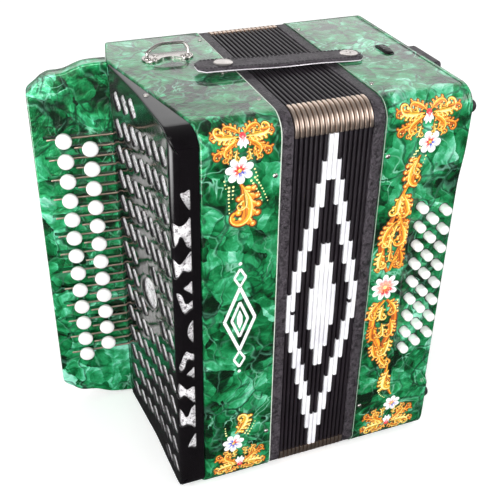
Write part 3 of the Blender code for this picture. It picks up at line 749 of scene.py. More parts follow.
def build_key(k):
    name = "treble_key_%02d" % (k + 1)
    z = key_z(k)
    button_x, end_x, y0, y1 = INNER_ROW if k % 2 else OUTER_ROW
    to_button = (PIVOT.x - button_x) / math.cos(LEVER_TILT)
    to_end = (PIVOT.x - end_x) / math.cos(LEVER_TILT)

    # steel lever and arm: one bent square wire with softened edges
    tip = over_deck(y0 + 6.0, 5.2)
    arm = (tip - PIVOT).normalized()
    path = [PIVOT + LEVER * (to_end - 0.02), PIVOT + LEVER * (to_end - 0.5)]
    for i in range(1, 12):
        path.append(PIVOT + LEVER * (to_end - 0.5 - (to_end - 4.5) * i / 12))
    for t in (0.15, 0.4, 0.65, 0.9):
        path.append(PIVOT + LEVER * 4.0 * (1 - t) ** 2 + arm * (4.0 * t * t))
    path += [PIVOT + arm * 8.0, tip - arm * 4.0, tip]
    half, flat = 0.8, 0.8 - 0.35
    section = [(-half, -flat), (-flat, -half), (flat, -half), (half, -flat),
               (half, flat), (flat, half), (-flat, half), (-half, flat)]
    geo = Geo()
    geo.tube([(p.x, p.y, z) for p in path], section, side=(0, 0, 1),
             scale=[0.55] + [1.0] * (len(path) - 1))
    make("key_lever_%02d" % (k + 1), geo, STEEL, name, 50.0, replaces=(name,))

    foot = PIVOT + LEVER * to_button
    make_turned("key_button_%02d" % (k + 1), BUTTON_PROFILE, (foot.x, foot.y, z), FACE, 40,
                IVORY, name, 60.0, "button_ivory")
    # (part, lower and upper height over the deck, half length in z, material)
    for part, low, high, half, mat in (("pallet", 2.4, 4.9, 7.0, WOOD),
                                       ("pallet_felt", 0.5, 2.3, 7.1, FELT)):
        loops = []
        for dz, inset in ((-half, 0.5), (-half + 0.5, 0.0), (half - 0.5, 0.0), (half, 0.5)):
            pts = [over_deck(y0 + inset, low + inset * 0.4),
                   over_deck(y1 - inset, low + inset * 0.4),
                   over_deck(y1 - inset, high - inset * 0.6),
                   over_deck(y0 + inset, high - inset * 0.6)]
            loops.append([(p.x, p.y, z + dz) for p in pts])
        make_loft("key_%s_%02d" % (part, k + 1), loops, mat, name, 30.0)


def build_rod():
    """Upright rod behind the lever pivots."""
    make_turned("key_rod", [(0.6, 0.0), (1.2, 0.5), (1.2, 311.5), (0.6, 312.0)],
                (PIVOT.x, PIVOT.y + 2.4, 14.0), (0, 0, 1), 16, STEEL, TREBLE, 50.0)


# ------------------------------------------------------------------ grille
GRILLE_INSET = 1.5
GRILLE_FRONT = FRONT + GRILLE_INSET
GRILLE_BACK = 39.6
GRILLE_LINE = [(FRONT, -120.6), (-54.5, -122.2), (-24.5, -123.2),
               (GRILLE_BACK + 0.1, -128.9)]       # (y, x) of its left face
PLAN_R = 6.0         # rounding of its upright front edge
TOP_R = 15.5         # rounding of its upper and lower front corners
SKIN_T = 1.6         # thickness of the pierced cover
ARC_STEPS = 10


def grille_x(y):
    for (ya, xa), (yb, xb) in zip(GRILLE_LINE, GRILLE_LINE[1:]):
        if y <= yb:
            return xa + (xb - xa) * (y - ya) / (yb - ya)


def grille_plan():
    """Outer skin in plan, from the case edge in front round to the back end."""
    cx = grille_x(GRILLE_FRONT + PLAN_R) + PLAN_R
    pts = [(treble_x(GRILLE_FRONT) - 0.5, GRILLE_FRONT), (cx, GRILLE_FRONT)]
    for i in range(1, ARC_STEPS + 1):
        angle = math.radians(90.0 * i / ARC_STEPS)
        pts.append((cx - PLAN_R * math.sin(angle),
                    GRILLE_FRONT + PLAN_R - PLAN_R * math.cos(angle)))
    for y in (-80.0, -67.0, -54.5, -40.0, -24.5, -8.0, 8.0, 24.0, GRILLE_BACK):
        pts.append((grille_x(y), y))
    return pts


PLAN = grille_plan()
PLAN_LEN = [0.0]         # length along the plan at each of its points
for _a, _b in zip(PLAN, PLAN[1:]):
    PLAN_LEN.append(PLAN_LEN[-1] + math.hypot(_b[0] - _a[0], _b[1] - _a[1]))
FLAT_END = PLAN_LEN[1]
SIDE_START = PLAN_LEN[1 + ARC_STEPS]
PLAN_END = PLAN_LEN[-1]


def plan_direction(j):
    j = min(max(j, 0), len(PLAN) - 2)
    dx, dy = PLAN[j + 1][0] - PLAN[j][0], PLAN[j + 1][1] - PLAN[j][1]
    length = math.hypot(dx, dy)
    return dx / length, dy / length


def plan_at(s, off=0.0):
    """Point on the plan at length s, moved outwards by off."""
    i = 0
    while i < len(PLAN_LEN) - 2 and s > PLAN_LEN[i + 1]:
        i += 1
    (ax, ay), (bx, by) = PLAN[i], PLAN[i + 1]
    t = (s - PLAN_LEN[i]) / (PLAN_LEN[i + 1] - PLAN_LEN[i])
    # the direction blends from segment to segment
    here, before, after = plan_direction(i), plan_direction(i - 1), plan_direction(i + 1)
    start = ((before[0] + here[0]) / 2, (before[1] + here[1]) / 2)
    end = ((after[0] + here[0]) / 2, (after[1] + here[1]) / 2)
    dx, dy = start[0] + (end[0] - start[0]) * t, start[1] + (end[1] - start[1]) * t
    length = math.hypot(dx, dy)
    return ax + (bx - ax) * t - dy / length * off, ay + (by - ay) * t + dx / length * off


def side_length(y):
    """Length along the plan for a place on the side face."""
    for i in range(1 + ARC_STEPS, len(PLAN) - 1):
        ay, by = PLAN[i][1], PLAN[i + 1][1]
        if ay <= y <= by:
            return PLAN_LEN[i] + (PLAN_LEN[i + 1] - PLAN_LEN[i]) * (y - ay) / (by - ay)
    return SIDE_START


def grille_top(s):
    y = plan_at(min(max(s, 0.0), PLAN_END))[1]
    drop = GRILLE_INSET + quarter(y - GRILLE_FRONT, TOP_R)
    if s > FLAT_END + 0.5:
        drop += 1.75 * min((s - FLAT_END) / 3.0, 1.0)
    else:
        drop -= 0.6
    return HEIGHT - drop


BAND_EDGE = 7.0       # length along the plan where the front openings begin
OPENINGS_Z = 173.0    # the front openings mirror about this height
# front openings: (distance past BAND_EDGE, height over OPENINGS_Z); the first two
# points are the straight edge
FRONT_OPENINGS = (
    [(0, 121.5), (0, 107), (2.5, 109.2), (7.2, 119.5), (4, 120.6)],
    [(0, 99.5), (0, 76.5), (1.5, 75.4), (3.6, 77.8), (6, 84.5), (8.6, 85.2), (10.5, 80.5),
     (13.3, 77.2), (14.8, 82), (16.6, 90.6), (13.6, 96.6), (8, 94.4), (3.5, 96.5)],
    [(0, 72.2), (0, 57), (2.4, 55), (6.6, 56.5), (10, 52.5), (13.2, 50.2), (15.6, 55.6),
     (17.8, 63.2), (14, 66.4), (9.2, 62.6), (5, 66.5)],
    [(0, 46.2), (0, 35.2), (2.2, 36.8), (6.6, 41.2), (3.2, 43.8)],
    [(0, 29), (0, 22.4), (2.6, 20.8), (6.2, 18), (8.4, 21.4), (10.2, 26.8), (13.2, 34.6),
     (11.4, 37.4), (8, 34.6), (6, 27.6), (3.2, 27)])
MIDDLE_OPENING = [(0, 9.6), (0, -9.6), (2, -8.4), (4.2, -3.6), (4.6, 1.6), (3.4, 6.4),
                  (1.6, 9.4)]


def front_opening(pts, side):
    """Rounded outline; the straight edge beside the solid band keeps its corners."""
    curve = spline([(BAND_EDGE + past, OPENINGS_Z + side * dz) for past, dz in pts], 4,
                   closed=True)
    return curve[:1] + curve[4:]


def grille_openings():
    """Openings of the pierced cover, as closed outlines in (plan length, z)."""
    holes = [front_opening(pts, side) for side in (1, -1) for pts in FRONT_OPENINGS]
    holes.append(front_opening(MIDDLE_OPENING, 1))

    # side: slanted lozenges in a staggered lattice round an oval medallion
    oval_y, oval_z = -31.0, 168.0
    lower_y, lower_z = -10.0, -11.2      # one edge of a lozenge
    upper_y, upper_z = -11.8, 7.0        # the other edge
    for column in range(9):
        for row in range(-3, 17):
            y = -80.6 + 17.4 * column
            z = 21.0 + 22.6 * row - 3.9 * column
            low = 1.0 + 0.10 * (hash01(column, row, 1) - 0.6)
            high = 1.0 + 0.10 * (hash01(column, row, 2) - 0.6)
            corners = [(y + i * lower_y * low / 2 + j * upper_y * high / 2,
                        z + i * lower_z * low / 2 + j * upper_z * high / 2)
                       for i, j in ((-1, -1), (1, -1), (1, 1), (-1, 1))]
            if any(cy < -91.9 or cy > 36.5 for cy, cz in corners):
                continue
            tops = [grille_top(side_length(cy)) for cy, cz in corners]
            if any(cz > top - 4.0 or cz < HEIGHT - top + 4.0
                   for (cy, cz), top in zip(corners, tops)):
                continue
            if min(((cy - oval_y) / 22.5) ** 2 + ((cz - oval_z) / 19.0) ** 2
                   for cy, cz in corners) < 1.0:
                continue
            corners = [(side_length(cy), cz) for cy, cz in corners]
            # the corners are clipped a little
            holes.append([(a[0] + (b[0] - a[0]) * t, a[1] + (b[1] - a[1]) * t)
                          for a, b in zip(corners, corners[1:] + corners[:1])
                          for t in (0.12, 0.5, 0.88)])
    lean = math.radians(-32)
    ring = []
    for i in range(20):
        angle = 2 * math.pi * i / 20
        u, v = 19.5 * math.cos(angle), 13.2 * math.sin(angle)
        ring.append((side_length(oval_y) + u * math.cos(lean) - v * math.sin(lean),
                     oval_z + u * math.sin(lean) + v * math.cos(lean)))
    holes.append(spline(ring, 3, closed=True))
    return holes


def flat_grille_mesh():
    """The unrolled cover in (plan length, z), from a filled curve with holes."""
    bevel = 0.45
    curve = bpy.data.curves.new("grille_plan", "CURVE")
    curve.dimensions = "2D"
    curve.fill_mode = "BOTH"
    curve.extrude = (SKIN_T / 2 - bevel) * MM
    curve.bevel_depth = bevel * MM
    curve.bevel_resolution = 2
    curve.offset = -bevel * MM

    def add(pts, hole):
        """Adds an outline; holes turn the other way round."""
        line = curve.splines.new("POLY")
        line.points.add(len(pts) - 1)
        area = sum(a[0] * b[1] - b[0] * a[1] for a, b in zip(pts, pts[1:] + pts[:1]))
        if (area < 0) != hole:
            pts = list(reversed(pts))
        for point, (s, z) in zip(line.points, pts):
            point.co = (s * MM, z * MM, 0, 1)
        line.use_cyclic_u = True

    # stations from the back end to the front: coarse on the side, fine round the bend
    stations = [PLAN_END - 0.01]
    s = PLAN_END
    while s > SIDE_START + 8.0:
        s -= 8.0
        stations.append(s)
    s = SIDE_START + 8.0
    while s > FLAT_END + 0.3:
        stations.append(s)
        s -= 0.8
    stations += [FLAT_END, 0.0]
    top = [(s, grille_top(s)) for s in stations]
    add(top + [(s, HEIGHT - z) for s, z in reversed(top)], False)
    for pts in grille_openings():
        add(pts, True)

    flat = bpy.data.objects.new("grille_tmp", curve)
    bpy.context.scene.collection.objects.link(flat)
    bpy.context.view_layer.update()
    depsgraph = bpy.context.evaluated_depsgraph_get()
    mesh = bpy.data.meshes.new_from_object(flat.evaluated_get(depsgraph))
    bpy.data.objects.remove(flat, do_unlink=True)
    return mesh


def build_grille_cover():
    mesh = flat_grille_mesh()
    bm = bmesh.new()
    bm.from_mesh(mesh)
    bmesh.ops.remove_doubles(bm, verts=bm.verts, dist=1e-6)
    # split at the points of the plan, then bend the sheet round it
    planes = [FLAT_END + (SIDE_START - FLAT_END) * i / ARC_STEPS
              for i in range(ARC_STEPS + 1)]
    planes += PLAN_LEN[2 + ARC_STEPS:-1]
    for s in planes:
        geom = list(bm.verts) + list(bm.edges) + list(bm.faces)
        bmesh.ops.bisect_plane(bm, geom=geom, dist=1e-8, plane_co=(s * MM, 0, 0),
                               plane_no=(1, 0, 0))
    for vert in bm.verts:
        s, z, height = vert.co.x / MM, vert.co.y / MM, vert.co.z / MM
        x, y = plan_at(s, height - SKIN_T / 2)
        vert.co = ((x + SHIFT) * MM, y * MM, z * MM)
    bmesh.ops.recalc_face_normals(bm, faces=bm.faces)
    bm.to_mesh(mesh)
    bm.free()
    mesh.name = "grille_cover"
    place("grille_cover", mesh, BLACK, TREBLE, 32, "grille_black", ("treble_grille",))


def build_grille_flanges():
    """Top and bottom flanges, rounded over in front like the case edge."""
    path = []       # (y, z, outward y, outward z)
    for i in range(13):
        angle = math.radians(90.0 * i / 12)
        path.append((GRILLE_FRONT + TOP_R - TOP_R * math.cos(angle),
                     HEIGHT - GRILLE_INSET - TOP_R + TOP_R * math.sin(angle),
                     -math.cos(angle), math.sin(angle)))
    for y in (-70.0, -54.5, -40.0, -24.5, 0.0, 20.0, GRILLE_BACK):
        path.append((y, HEIGHT - GRILLE_INSET, 0.0, 1.0))
    for name, flip in (("grille_top_flange", False), ("grille_bottom_flange", True)):
        loops = []
        for y, z, out_y, out_z in path:
            inner = treble_x(y) - 0.35
            outer = grille_x(y) + quarter(y - GRILLE_FRONT, PLAN_R)
            ease = 0.15 + 0.85 * smooth((y - GRILLE_FRONT) / 7.0)
            section = [(inner, 0.0), (outer + 2.0 * ease, 0.0),
                       (outer + 0.95 * ease, -0.14 * ease), (outer + 0.28 * ease, -0.6 * ease),
                       (outer, -1.5 * ease), (outer, -1.85), (outer + 2.1, -1.9),
                       (outer + 2.3, -2.2), (inner, -2.2)]
            row = []
            for x, off in section:
                height = z + out_z * off
                row.append((x, y + out_y * off, HEIGHT - height if flip else height))
            loops.append(row)
        make_loft(name, loops, BLACK, TREBLE, 32.0, "grille_black")


def build_grille_cloth():
    """Glitter cloth stretched just behind the openings."""
    columns, rows = 60, 24
    loops = []
    for i in range(columns + 1):
        s = 2.0 + (PLAN_END - 3.0) * i / columns
        top = grille_top(s) - 3.0
        faces = []
        for off in (-2.15, -2.5):
            face = []
            for j in range(rows + 1):
                sag = 0.12 * math.sin(s * 0.21 + j * 0.9)
                face.append((*plan_at(s, off + sag),
                             (HEIGHT - top) + (2 * top - HEIGHT) * j / rows))
            faces.append(face)
        loops.append(faces[0] + faces[1][::-1])
    make_loft("grille_cloth", loops, GLITTER, TREBLE, 60.0)


def screw(name, centre, axis, radius, height, turn, body, mat=NICKEL):
    """Domed screw head with a real slot, turned by an angle."""
    profile = [(radius * 0.9, -0.6), (radius, 0.0), (radius * 0.97, height * 0.35),
               (radius * 0.82, height * 0.7), (radius * 0.5, height * 0.93), (0.02, height)]
    head = make_turned(name, profile, centre, axis, 24, mat, body, 45.0, "nickel")
    axis = Vector(axis).normalized()
    first = axis.orthogonal().normalized()
    second = axis.cross(first)
    along = first * math.cos(turn) + second * math.sin(turn)
    across = axis.cross(along)
    base = Vector(centre)
    slot = Geo()
    slot.loft([[tuple(base + axis * level + along * (i * radius * 1.2)
                      + across * (j * radius * 0.14))
                for i, j in ((-1, -1), (1, -1), (1, 1), (-1, 1))]
               for level in (height * 0.45, height + 1.0)])
    cut(head, slot)


def build_grille_screws():
    x, y = -117.2, -30.0
    screw("grille_screw_1", (x, y, HEIGHT - GRILLE_INSET), (0, 0, 1), 2.2, height=1.2,
          turn=0.5, body=TREBLE)
    screw("grille_screw_2", (x, y, GRILLE_INSET), (0, 0, -1), 2.2, height=0.9,
          turn=1.5, body=TREBLE)


# ------------------------------------------------------------------ bellows
BELLOWS_STEPS = 12    # corner steps of the bellows outlines
# half sections over one fold: (half width, inset from the outline)
RIDGE = mirrored([(1.34, 3.9), (1.33, 2.7), (1.20, 1.75), (0.88, 1.25), (0.45, 1.03),
                  (0.0, 0.97)])
WHITE_RIDGE = mirrored([(1.70, 3.3), (1.68, 2.0), (1.52, 1.25), (1.1, 0.85), (0.5, 0.72),
                        (0.0, 0.69)])
STRIP_RIDGE = mirrored([(1.46, 3.6), (1.50, 1.7), (1.44, 0.95), (1.2, 0.55), (0.6, 0.40),
                        (0.0, 0.36)])
GROOVE = 15.6         # inset at the bottom of a groove
GROOVE_MOUTH = 3.5    # inset where the gusset meets the fold
GUSSET_T = 0.9
GUSSET_END = 31.12    # the outermost gussets run a little into the frames
# white bands on the fold 0..7 steps from the middle pair; they mirror about WHITE_MID
WHITE_MID = 169.6
WHITE_PAIRS = ((321.2, 284.6), (300.0, 262.6), (282.6, 245.0), (263.6, 225.8),
               (245.6, 207.6), (227.2, 189.2), (209.2, 171.4))   # (upper, lower z)
WHITE_MIDDLE_TOPS = {0: 229.3, 1: 210.8, 2: 189.6, 7: 188.0}


def blend_over(obj):
    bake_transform(obj)


def blend_flat(obj):
    """Bakes the transform of obj into its mesh."""
    blend_over(obj)


def blend_ramp(obj):
    """Bakes the transform of obj into its mesh."""
    blend_over(obj)


def round_outline(section):
    """Loops of an (x, inset) section swept round the bellows outline."""
    return list(zip(*[ring_at(outline(inset, BELLOWS_STEPS), x) for x, inset in section]))


def white_spans(step):
    """(lower, upper) heights of the white bands on one fold."""
    spans = []
    if step < len(WHITE_PAIRS):
        upper, lower = WHITE_PAIRS[step]
        spans += [(lower, upper), (2 * WHITE_MID - upper, 2 * WHITE_MID - lower)]
    if step in WHITE_MIDDLE_TOPS:
        top = WHITE_MIDDLE_TOPS[step]
        spans.append((2 * WHITE_MID - top, top))
    return spans


def white_bands(xc, step):
    """White bands on the front, lapped over the fold."""
    geo = Geo()
    rows = 6
    for z0, z1 in white_spans(step):
        loops = []
        for i in range(rows + 1):
            z = z0 + (z1 - z0) * i / rows
            sink = 0.12 if i in (0, rows) else 0.0
            loops.append([(xc + u, FRONT + inset + (sink if inset < 3 else 0), z)
                          for u, inset in WHITE_RIDGE])
        geo.loft(loops)
    return geo


def corner_strips(xc):
    """Metal strips bent over the four corners of a fold."""
    # stations: on the front (offset from the corner's start), the arc (degrees) and the top
    stations = [("front", -1.4), ("front", -0.6)]
    stations += [("arc", 90.0 * i / 12) for i in range(13)]
    stations += [("top", 0.8), ("top", 2.2), ("top", 2.7)]

    def corner_point(kind, value, inset):
        if kind == "front":
            return FRONT + inset, HEIGHT - CORNER_R + value
        if kind == "top":
            return FRONT + CORNER_R + value, HEIGHT - inset
        angle = math.radians(value)
        r = CORNER_R - inset
        return FRONT + CORNER_R - r * math.cos(angle), HEIGHT - CORNER_R + r * math.sin(angle)

    geo = Geo()
    for at_back, at_bottom in ((False, False), (False, True), (True, False), (True, True)):
        loops = []
        for i, (kind, value) in enumerate(stations):
            end = i in (0, len(stations) - 1)
            row = []
            for u, inset in STRIP_RIDGE:
                sink = 0.22 if end and inset < 3 else 0.0
                y, z = corner_point(kind, value, inset + sink)
                row.append((xc + u * (0.94 if end else 1.0), -y if at_back else y,
                            HEIGHT - z if at_bottom else z))
            loops.append(row)
        geo.loft(loops)
    return geo


def build_folds():
    for k in range(FOLDS):
        xc = -FOLDS_HALF + PITCH * (k + 0.5)
        number = "_%02d" % (k + 1)
        step = (7 - k) if k < 8 else (k - 8)
        loops = round_outline([(xc + u, inset) for u, inset in RIDGE])
        fold = make_loft("bellows_fold" + number, loops, FOLD, None, 50.0, "bellows_cloth",
                         ("bellows",) if k == 0 else (), ring=True)
        blend_flat(fold)
        band = make("bellows_white_band" + number, white_bands(xc, step), WHITE_CLOTH,
                    angle=50.0)
        blend_flat(band)
        strips = make("bellows_corner_strips" + number, corner_strips(xc), GOLD, angle=40.0)
        blend_flat(strips)


def build_gussets():
    """The cloth that runs down into each groove, in a darker, duller copy of the bellows cloth:
    painted shade in the gaps between the folds.
    """
    half = PITCH / 2 - 1.27
    slope = (GROOVE_MOUTH + GROOVE) / 2 - 0.4
    for k in range(FOLDS + 1):
        x = -FOLDS_HALF + PITCH * k
        if k == 0:
            line = [(-GUSSET_END, GROOVE), (x + half, GROOVE_MOUTH)]
        elif k == FOLDS:
            line = [(x - half, GROOVE_MOUTH), (GUSSET_END, GROOVE)]
        else:
            line = [(x - half, GROOVE_MOUTH), (x - half * 0.5, slope), (x, GROOVE),
                    (x + half * 0.5, slope), (x + half, GROOVE_MOUTH)]
        section = line + [(x, inset + GUSSET_T) for x, inset in reversed(line)]
        gusset = make_loft("bellows_gusset_%02d" % (k + 1), round_outline(section), GUSSET_PAINTED_SHADE,
                           None, 30.0, "bellows_cloth", ring=True)
        blend_ramp(gusset)


# ------------------------------------------------------------------ bass half
BASS_END = 109.2      # right end of the case
SCOOP = 3.5           # depth of the button board below the front
PLATE_END = 113.5     # outer face of the end plate
# heights of the points on the front of the case, from the top down
FRONT_ZS = ([322.0, 310.0, 300.0, 297.0] + [297.0 - 41.0 * i / 14 for i in range(1, 15)]
            + [250.0, 240.0, 228.0, 215.0, 200.0, 180.0, 160.0, 140.0, 120.0, 100.0, 85.0,
               70.0]
            + [62.0 - 6.2 * i / 8 for i in range(9)] + [54.0, 40.0, 20.0])


def scoop(z):
    return SCOOP * (1.0 - smooth((z - 256.0) / 41.0)) * smooth((z - 55.8) / 6.2)


def scoop_edge(z):
    """Where the button board starts, along X."""
    if z > 215:
        return 70.4 + 5.6 * min(((z - 215.0) / 75.0) ** 2, 1.2)
    return 70.4 + 3.0 * smooth((215.0 - z) / 130.0)


def front_y(x, z):
    return FRONT + scoop(z) * smooth((x - scoop_edge(z)) / 2.2)


def with_front(inset, x, front):
    """Outline ring at x with extra (y, z) points down its front."""
    pts = outline(inset)
    half = len(pts) // 2
    return ring_at(pts[:half] + front + pts[half:], x)


def bass_outline(inset, x):
    return with_front(inset, x, [(front_y(x, z) + inset, z) for z in FRONT_ZS])


def bass_inner(x, wall=6.0):
    return with_front(wall, x, [(FRONT + wall, min(max(z, CORNER_R), HEIGHT - CORNER_R))
                                for z in FRONT_ZS])


def bass_spots():
    """(x, z) of the buttons: three columns, each a third of a pitch apart in height."""
    pitch, top = 17.45, 245.5
    spots = []
    for x, z_top, count in ((81.4, top, 9), (92.2, top - 2 * pitch / 3, 8),
                            (103.4, top - pitch / 3, 8)):
        for i in range(count):
            spots.append((x, z_top - pitch * i))
    spots.sort(key=lambda spot: (-spot[1], spot[0]))
    return spots


BASS_SPOTS = bass_spots()


def build_bass_case():
    xs = ([CASE_START + 1.5, 60.0, 66.0] + [68.0 + 0.75 * i for i in range(17)]
          + [86.0, 98.0, 106.0, BASS_END - 0.6])
    # open box: outside, rim at the right end, inner wall and deck
    loops = [bass_outline(0.3, CASE_START)] + [bass_outline(0.0, x) for x in xs]
    loops += [bass_outline(0.35, BASS_END), bass_inner(BASS_END), bass_inner(61.0)]
    case = make_loft("bass_case_shell", loops, GREEN_B, BASS, 40.0, "celluloid_green",
                     ("bass_case",))
    holes = Geo()
    for x, z in BASS_SPOTS:
        holes.lathe([(4.6, 0.0), (4.6, 16.0)], (x, FRONT - 5.0, z), (0, 1, 0), 24)
    # air key slot with round ends
    radius, reach = 3.8, 7.6
    ring = []
    for start, shift in ((0.0, reach), (math.pi, -reach)):
        for i in range(9):
            angle = start + math.pi * i / 8
            ring.append((AIR_X + radius * math.cos(angle),
                         AIR_Y + shift + radius * math.sin(angle)))
    holes.loft([[(x, y, z) for x, y in ring] for z in (HEIGHT - 9.0, HEIGHT + 5.0)])
    cut(case, holes)


def build_end_cover():
    stations = ((0.4, 109.52), (0.0, 109.9), (0.0, 112.0), (0.25, 112.8), (0.8, 113.3),
                (1.5, PLATE_END))
    make_loft("bass_end_plate", [bass_outline(inset, x) for inset, x in stations], GREEN_B,
              BASS, 40.0, "celluloid_green", ("bass_end_cover",))
    foot = [(5.2, 113.2), (5.5, 113.6), (5.4, 115.8), (5.0, 117.8), (4.2, 119.3),
            (3.1, 120.2), (1.7, 120.7), (0.02, 120.8)]      # (radius, x)
    for i, (y, z) in enumerate(((-90.5, 322.5), (-90.5, 38.0), (90.5, 322.5), (90.5, 38.0))):
        make_turned("bass_foot_%d" % (i + 1), foot, (0, y, z), (1, 0, 0), 28, RUBBER, BASS,
                    50.0)
        screw("bass_foot_screw_%d" % (i + 1), (120.0, y, z), (1, 0, 0), 1.7, height=0.95,
              turn=0.4 + i, body=BASS, mat=STEEL)
    for i, (y, z) in enumerate(((-60.0, 333.0), (55.0, 333.0), (92.5, 250.0), (92.5, 110.0),
                                (-60.0, 7.0), (55.0, 7.0))):
        screw("end_cover_screw_%d" % (i + 1), (113.35, y, z), (1, 0, 0), 2.4, height=0.8,
              turn=0.3 + 0.8 * i, body=BASS)


def build_bass_buttons():
    # (radius, distance back from the button's face)
    cap = [(0.02, 0.0), (1.3, 0.04), (2.3, 0.18), (3.05, 0.45), (3.6, 0.95), (3.9, 1.6),
           (3.95, 2.3), (3.95, 14.2), (3.7, 14.5), (2.0, 14.6), (2.0, 26.6), (1.7, 27.0)]
    for i, (x, z) in enumerate(BASS_SPOTS):
        name = "bass_button_%02d" % (i + 1)
        make_turned("bass_cap_%02d" % (i + 1), cap, (x, -96.0 - 8.2, z), (0, 1, 0), 28, IVORY,
                    name, 50.0, "button_ivory", (name,))
        board = front_y(x, z)
        loops = [[(x + a, y, z + b) for a, b in circle(radius, 24)]
                 for radius, y in ((4.12, board - 0.1), (4.55, board - 0.1),
                                   (4.55, board + 1.2), (4.12, board + 1.2))]
        make_loft("bass_button_bush_%02d" % (i + 1), loops, BUSH, BASS, 40.0, ring=True)


def build_air_key():
    # top along y: (half length, height over the case)
    profile = mirrored([(10.9, 0.2), (10.6, 0.9), (9.4, 1.55), (7.5, 2.1), (4.5, 2.6),
                        (1.5, 2.8)])
    loops = []
    # across x: (offset, drop of the top)
    for dx, drop in mirrored([(3.3, 0.75), (3.0, 0.3), (2.2, 0.08), (0.0, 0.0)]):
        ring = [(AIR_X + dx, AIR_Y + dy, HEIGHT + height - drop) for dy, height in profile]
        ring += [(AIR_X + dx, AIR_Y + dy, HEIGHT - 13.6) for dy in (10.9, -10.9)]
        loops.append(ring)
    key = make_loft("air_key_cap", loops, BLACK, "air_key", 40.0, "air_black",
                    ("air_button",))
    # crosswise grooves in the top
    grooves = Geo()
    for dy in (-4.5, -1.5, 1.5, 4.5):
        grooves.lathe([(0.45, -4.0), (0.45, 4.0)],
                      (AIR_X, AIR_Y + dy, HEIGHT + 2.85 - 0.012 * dy * dy), (1, 0, 0), 12)
    cut(key, grooves)


# ------------------------------------------------------------------ straps
def stitches(geo, path, normal, step=3.2, length=2.1, r=0.28):
    """Short raised thread stitches along a path lying on leather."""
    pts = [Vector(p) for p in path]
    lengths = [0.0]
    for a, b in zip(pts, pts[1:]):
        lengths.append(lengths[-1] + (b - a).length)
    up = Vector(normal).normalized()

    def at(distance):
        i = 0
        while i < len(lengths) - 2 and distance > lengths[i + 1]:
            i += 1
        t = (distance - lengths[i]) / max(lengths[i + 1] - lengths[i], 1e-6)
        return pts[i].lerp(pts[i + 1], min(max(t, 0), 1))

    distance = step * 0.5
    while distance + length < lengths[-1]:
        a, b = at(distance), at(distance + length)
        mid = (a + b) / 2 + up * (r * 0.9)
        geo.tube([a - up * r * 0.8, a.lerp(mid, 0.4) + up * r * 0.15, mid,
                  b.lerp(mid, 0.4) + up * r * 0.15, b - up * r * 0.8],
                 circle(r, 6), scale=[0.6, 1.0, 1.0, 1.0, 0.6])
        distance += step


def strap_section(right, low, high, squeeze):
    """Closed symmetric section; right runs from the bottom up to the middle of the top.

    squeeze scales the heights about the middle of low and high.
    """
    pts = [(-right[0][0], right[0][1])] + right
    pts += [(-across, height) for across, height in reversed(right[1:-1])]
    mid = (low + high) / 2
    return [(across, mid + (height - mid) * squeeze) for across, height in pts]


# bellows strap: over the top, from the treble case to the bass case
STRAP_A, STRAP_B = Vector((-72.0, -5.8)), Vector((63.4, -10.7))     # its ends in (x, y)
STRAP_RUN = STRAP_B - STRAP_A
STRAP_LEN = STRAP_RUN.length
STRAP_RUN.normalize()
STRAP_SIDE = Vector((-STRAP_RUN.y, STRAP_RUN.x))
LEATHER_LOW, LEATHER_HIGH = 0.85, 2.75
LINING_HIGH = 0.84


def strap_z(s):
    """Underside of the strap, falling towards the bass end with a slight wave."""
    return (HEIGHT + 0.55 + 3.25 * (1 - smooth((s + 6.0) / (STRAP_LEN + 6.0)))
            + 0.35 * math.sin(s * 0.075 + 0.5))


def strap_half(s):
    """Half width: full in the middle, drawn in at both ends."""
    width = 10.4
    if s < 5.5:
        width = 4.6 + (width - 4.6) * (s / 5.5) ** 0.9
    if s > STRAP_LEN - 5.0:
        width = width - 5.2 * ((s - (STRAP_LEN - 5.0)) / 5.0) ** 1.6
    return width + 0.25 * math.sin(s * 0.11)


def on_strap(s, across, height):
    p = STRAP_A + STRAP_RUN * s + STRAP_SIDE * across
    return p.x, p.y, strap_z(s) + height


def strap_band(name, low, high, widen, mat, replaces=()):
    stations = [0.0, 0.4, 1.2, 2.4, 3.8, 5.0, 5.5, 6.2, 9.0, 12.0]
    while stations[-1] < STRAP_LEN - 12.0:
        stations.append(stations[-1] + 4.0)
    stations += [STRAP_LEN - back for back in (7.5, 5.0, 3.8, 2.6, 1.5, 0.7, 0.0)]
    edge, crown = 0.45, 0.28
    loops = []
    for i, s in enumerate(stations):
        half = strap_half(s) + widen
        right = [(half - edge, low), (half, low + edge * 0.7), (half, high - edge),
                 (half - edge * 0.35, high - edge * 0.3), (half - edge * 1.2, high),
                 (half * 0.5, high + crown), (0, high + crown * 1.2)]
        squeeze = 0.5 if i in (0, len(stations) - 1) else 1.0
        loops.append([on_strap(s, across, height)
                      for across, height in strap_section(right, low, high, squeeze)])
    make_loft(name, loops, mat, "strap", 50.0, "strap_leather", replaces)


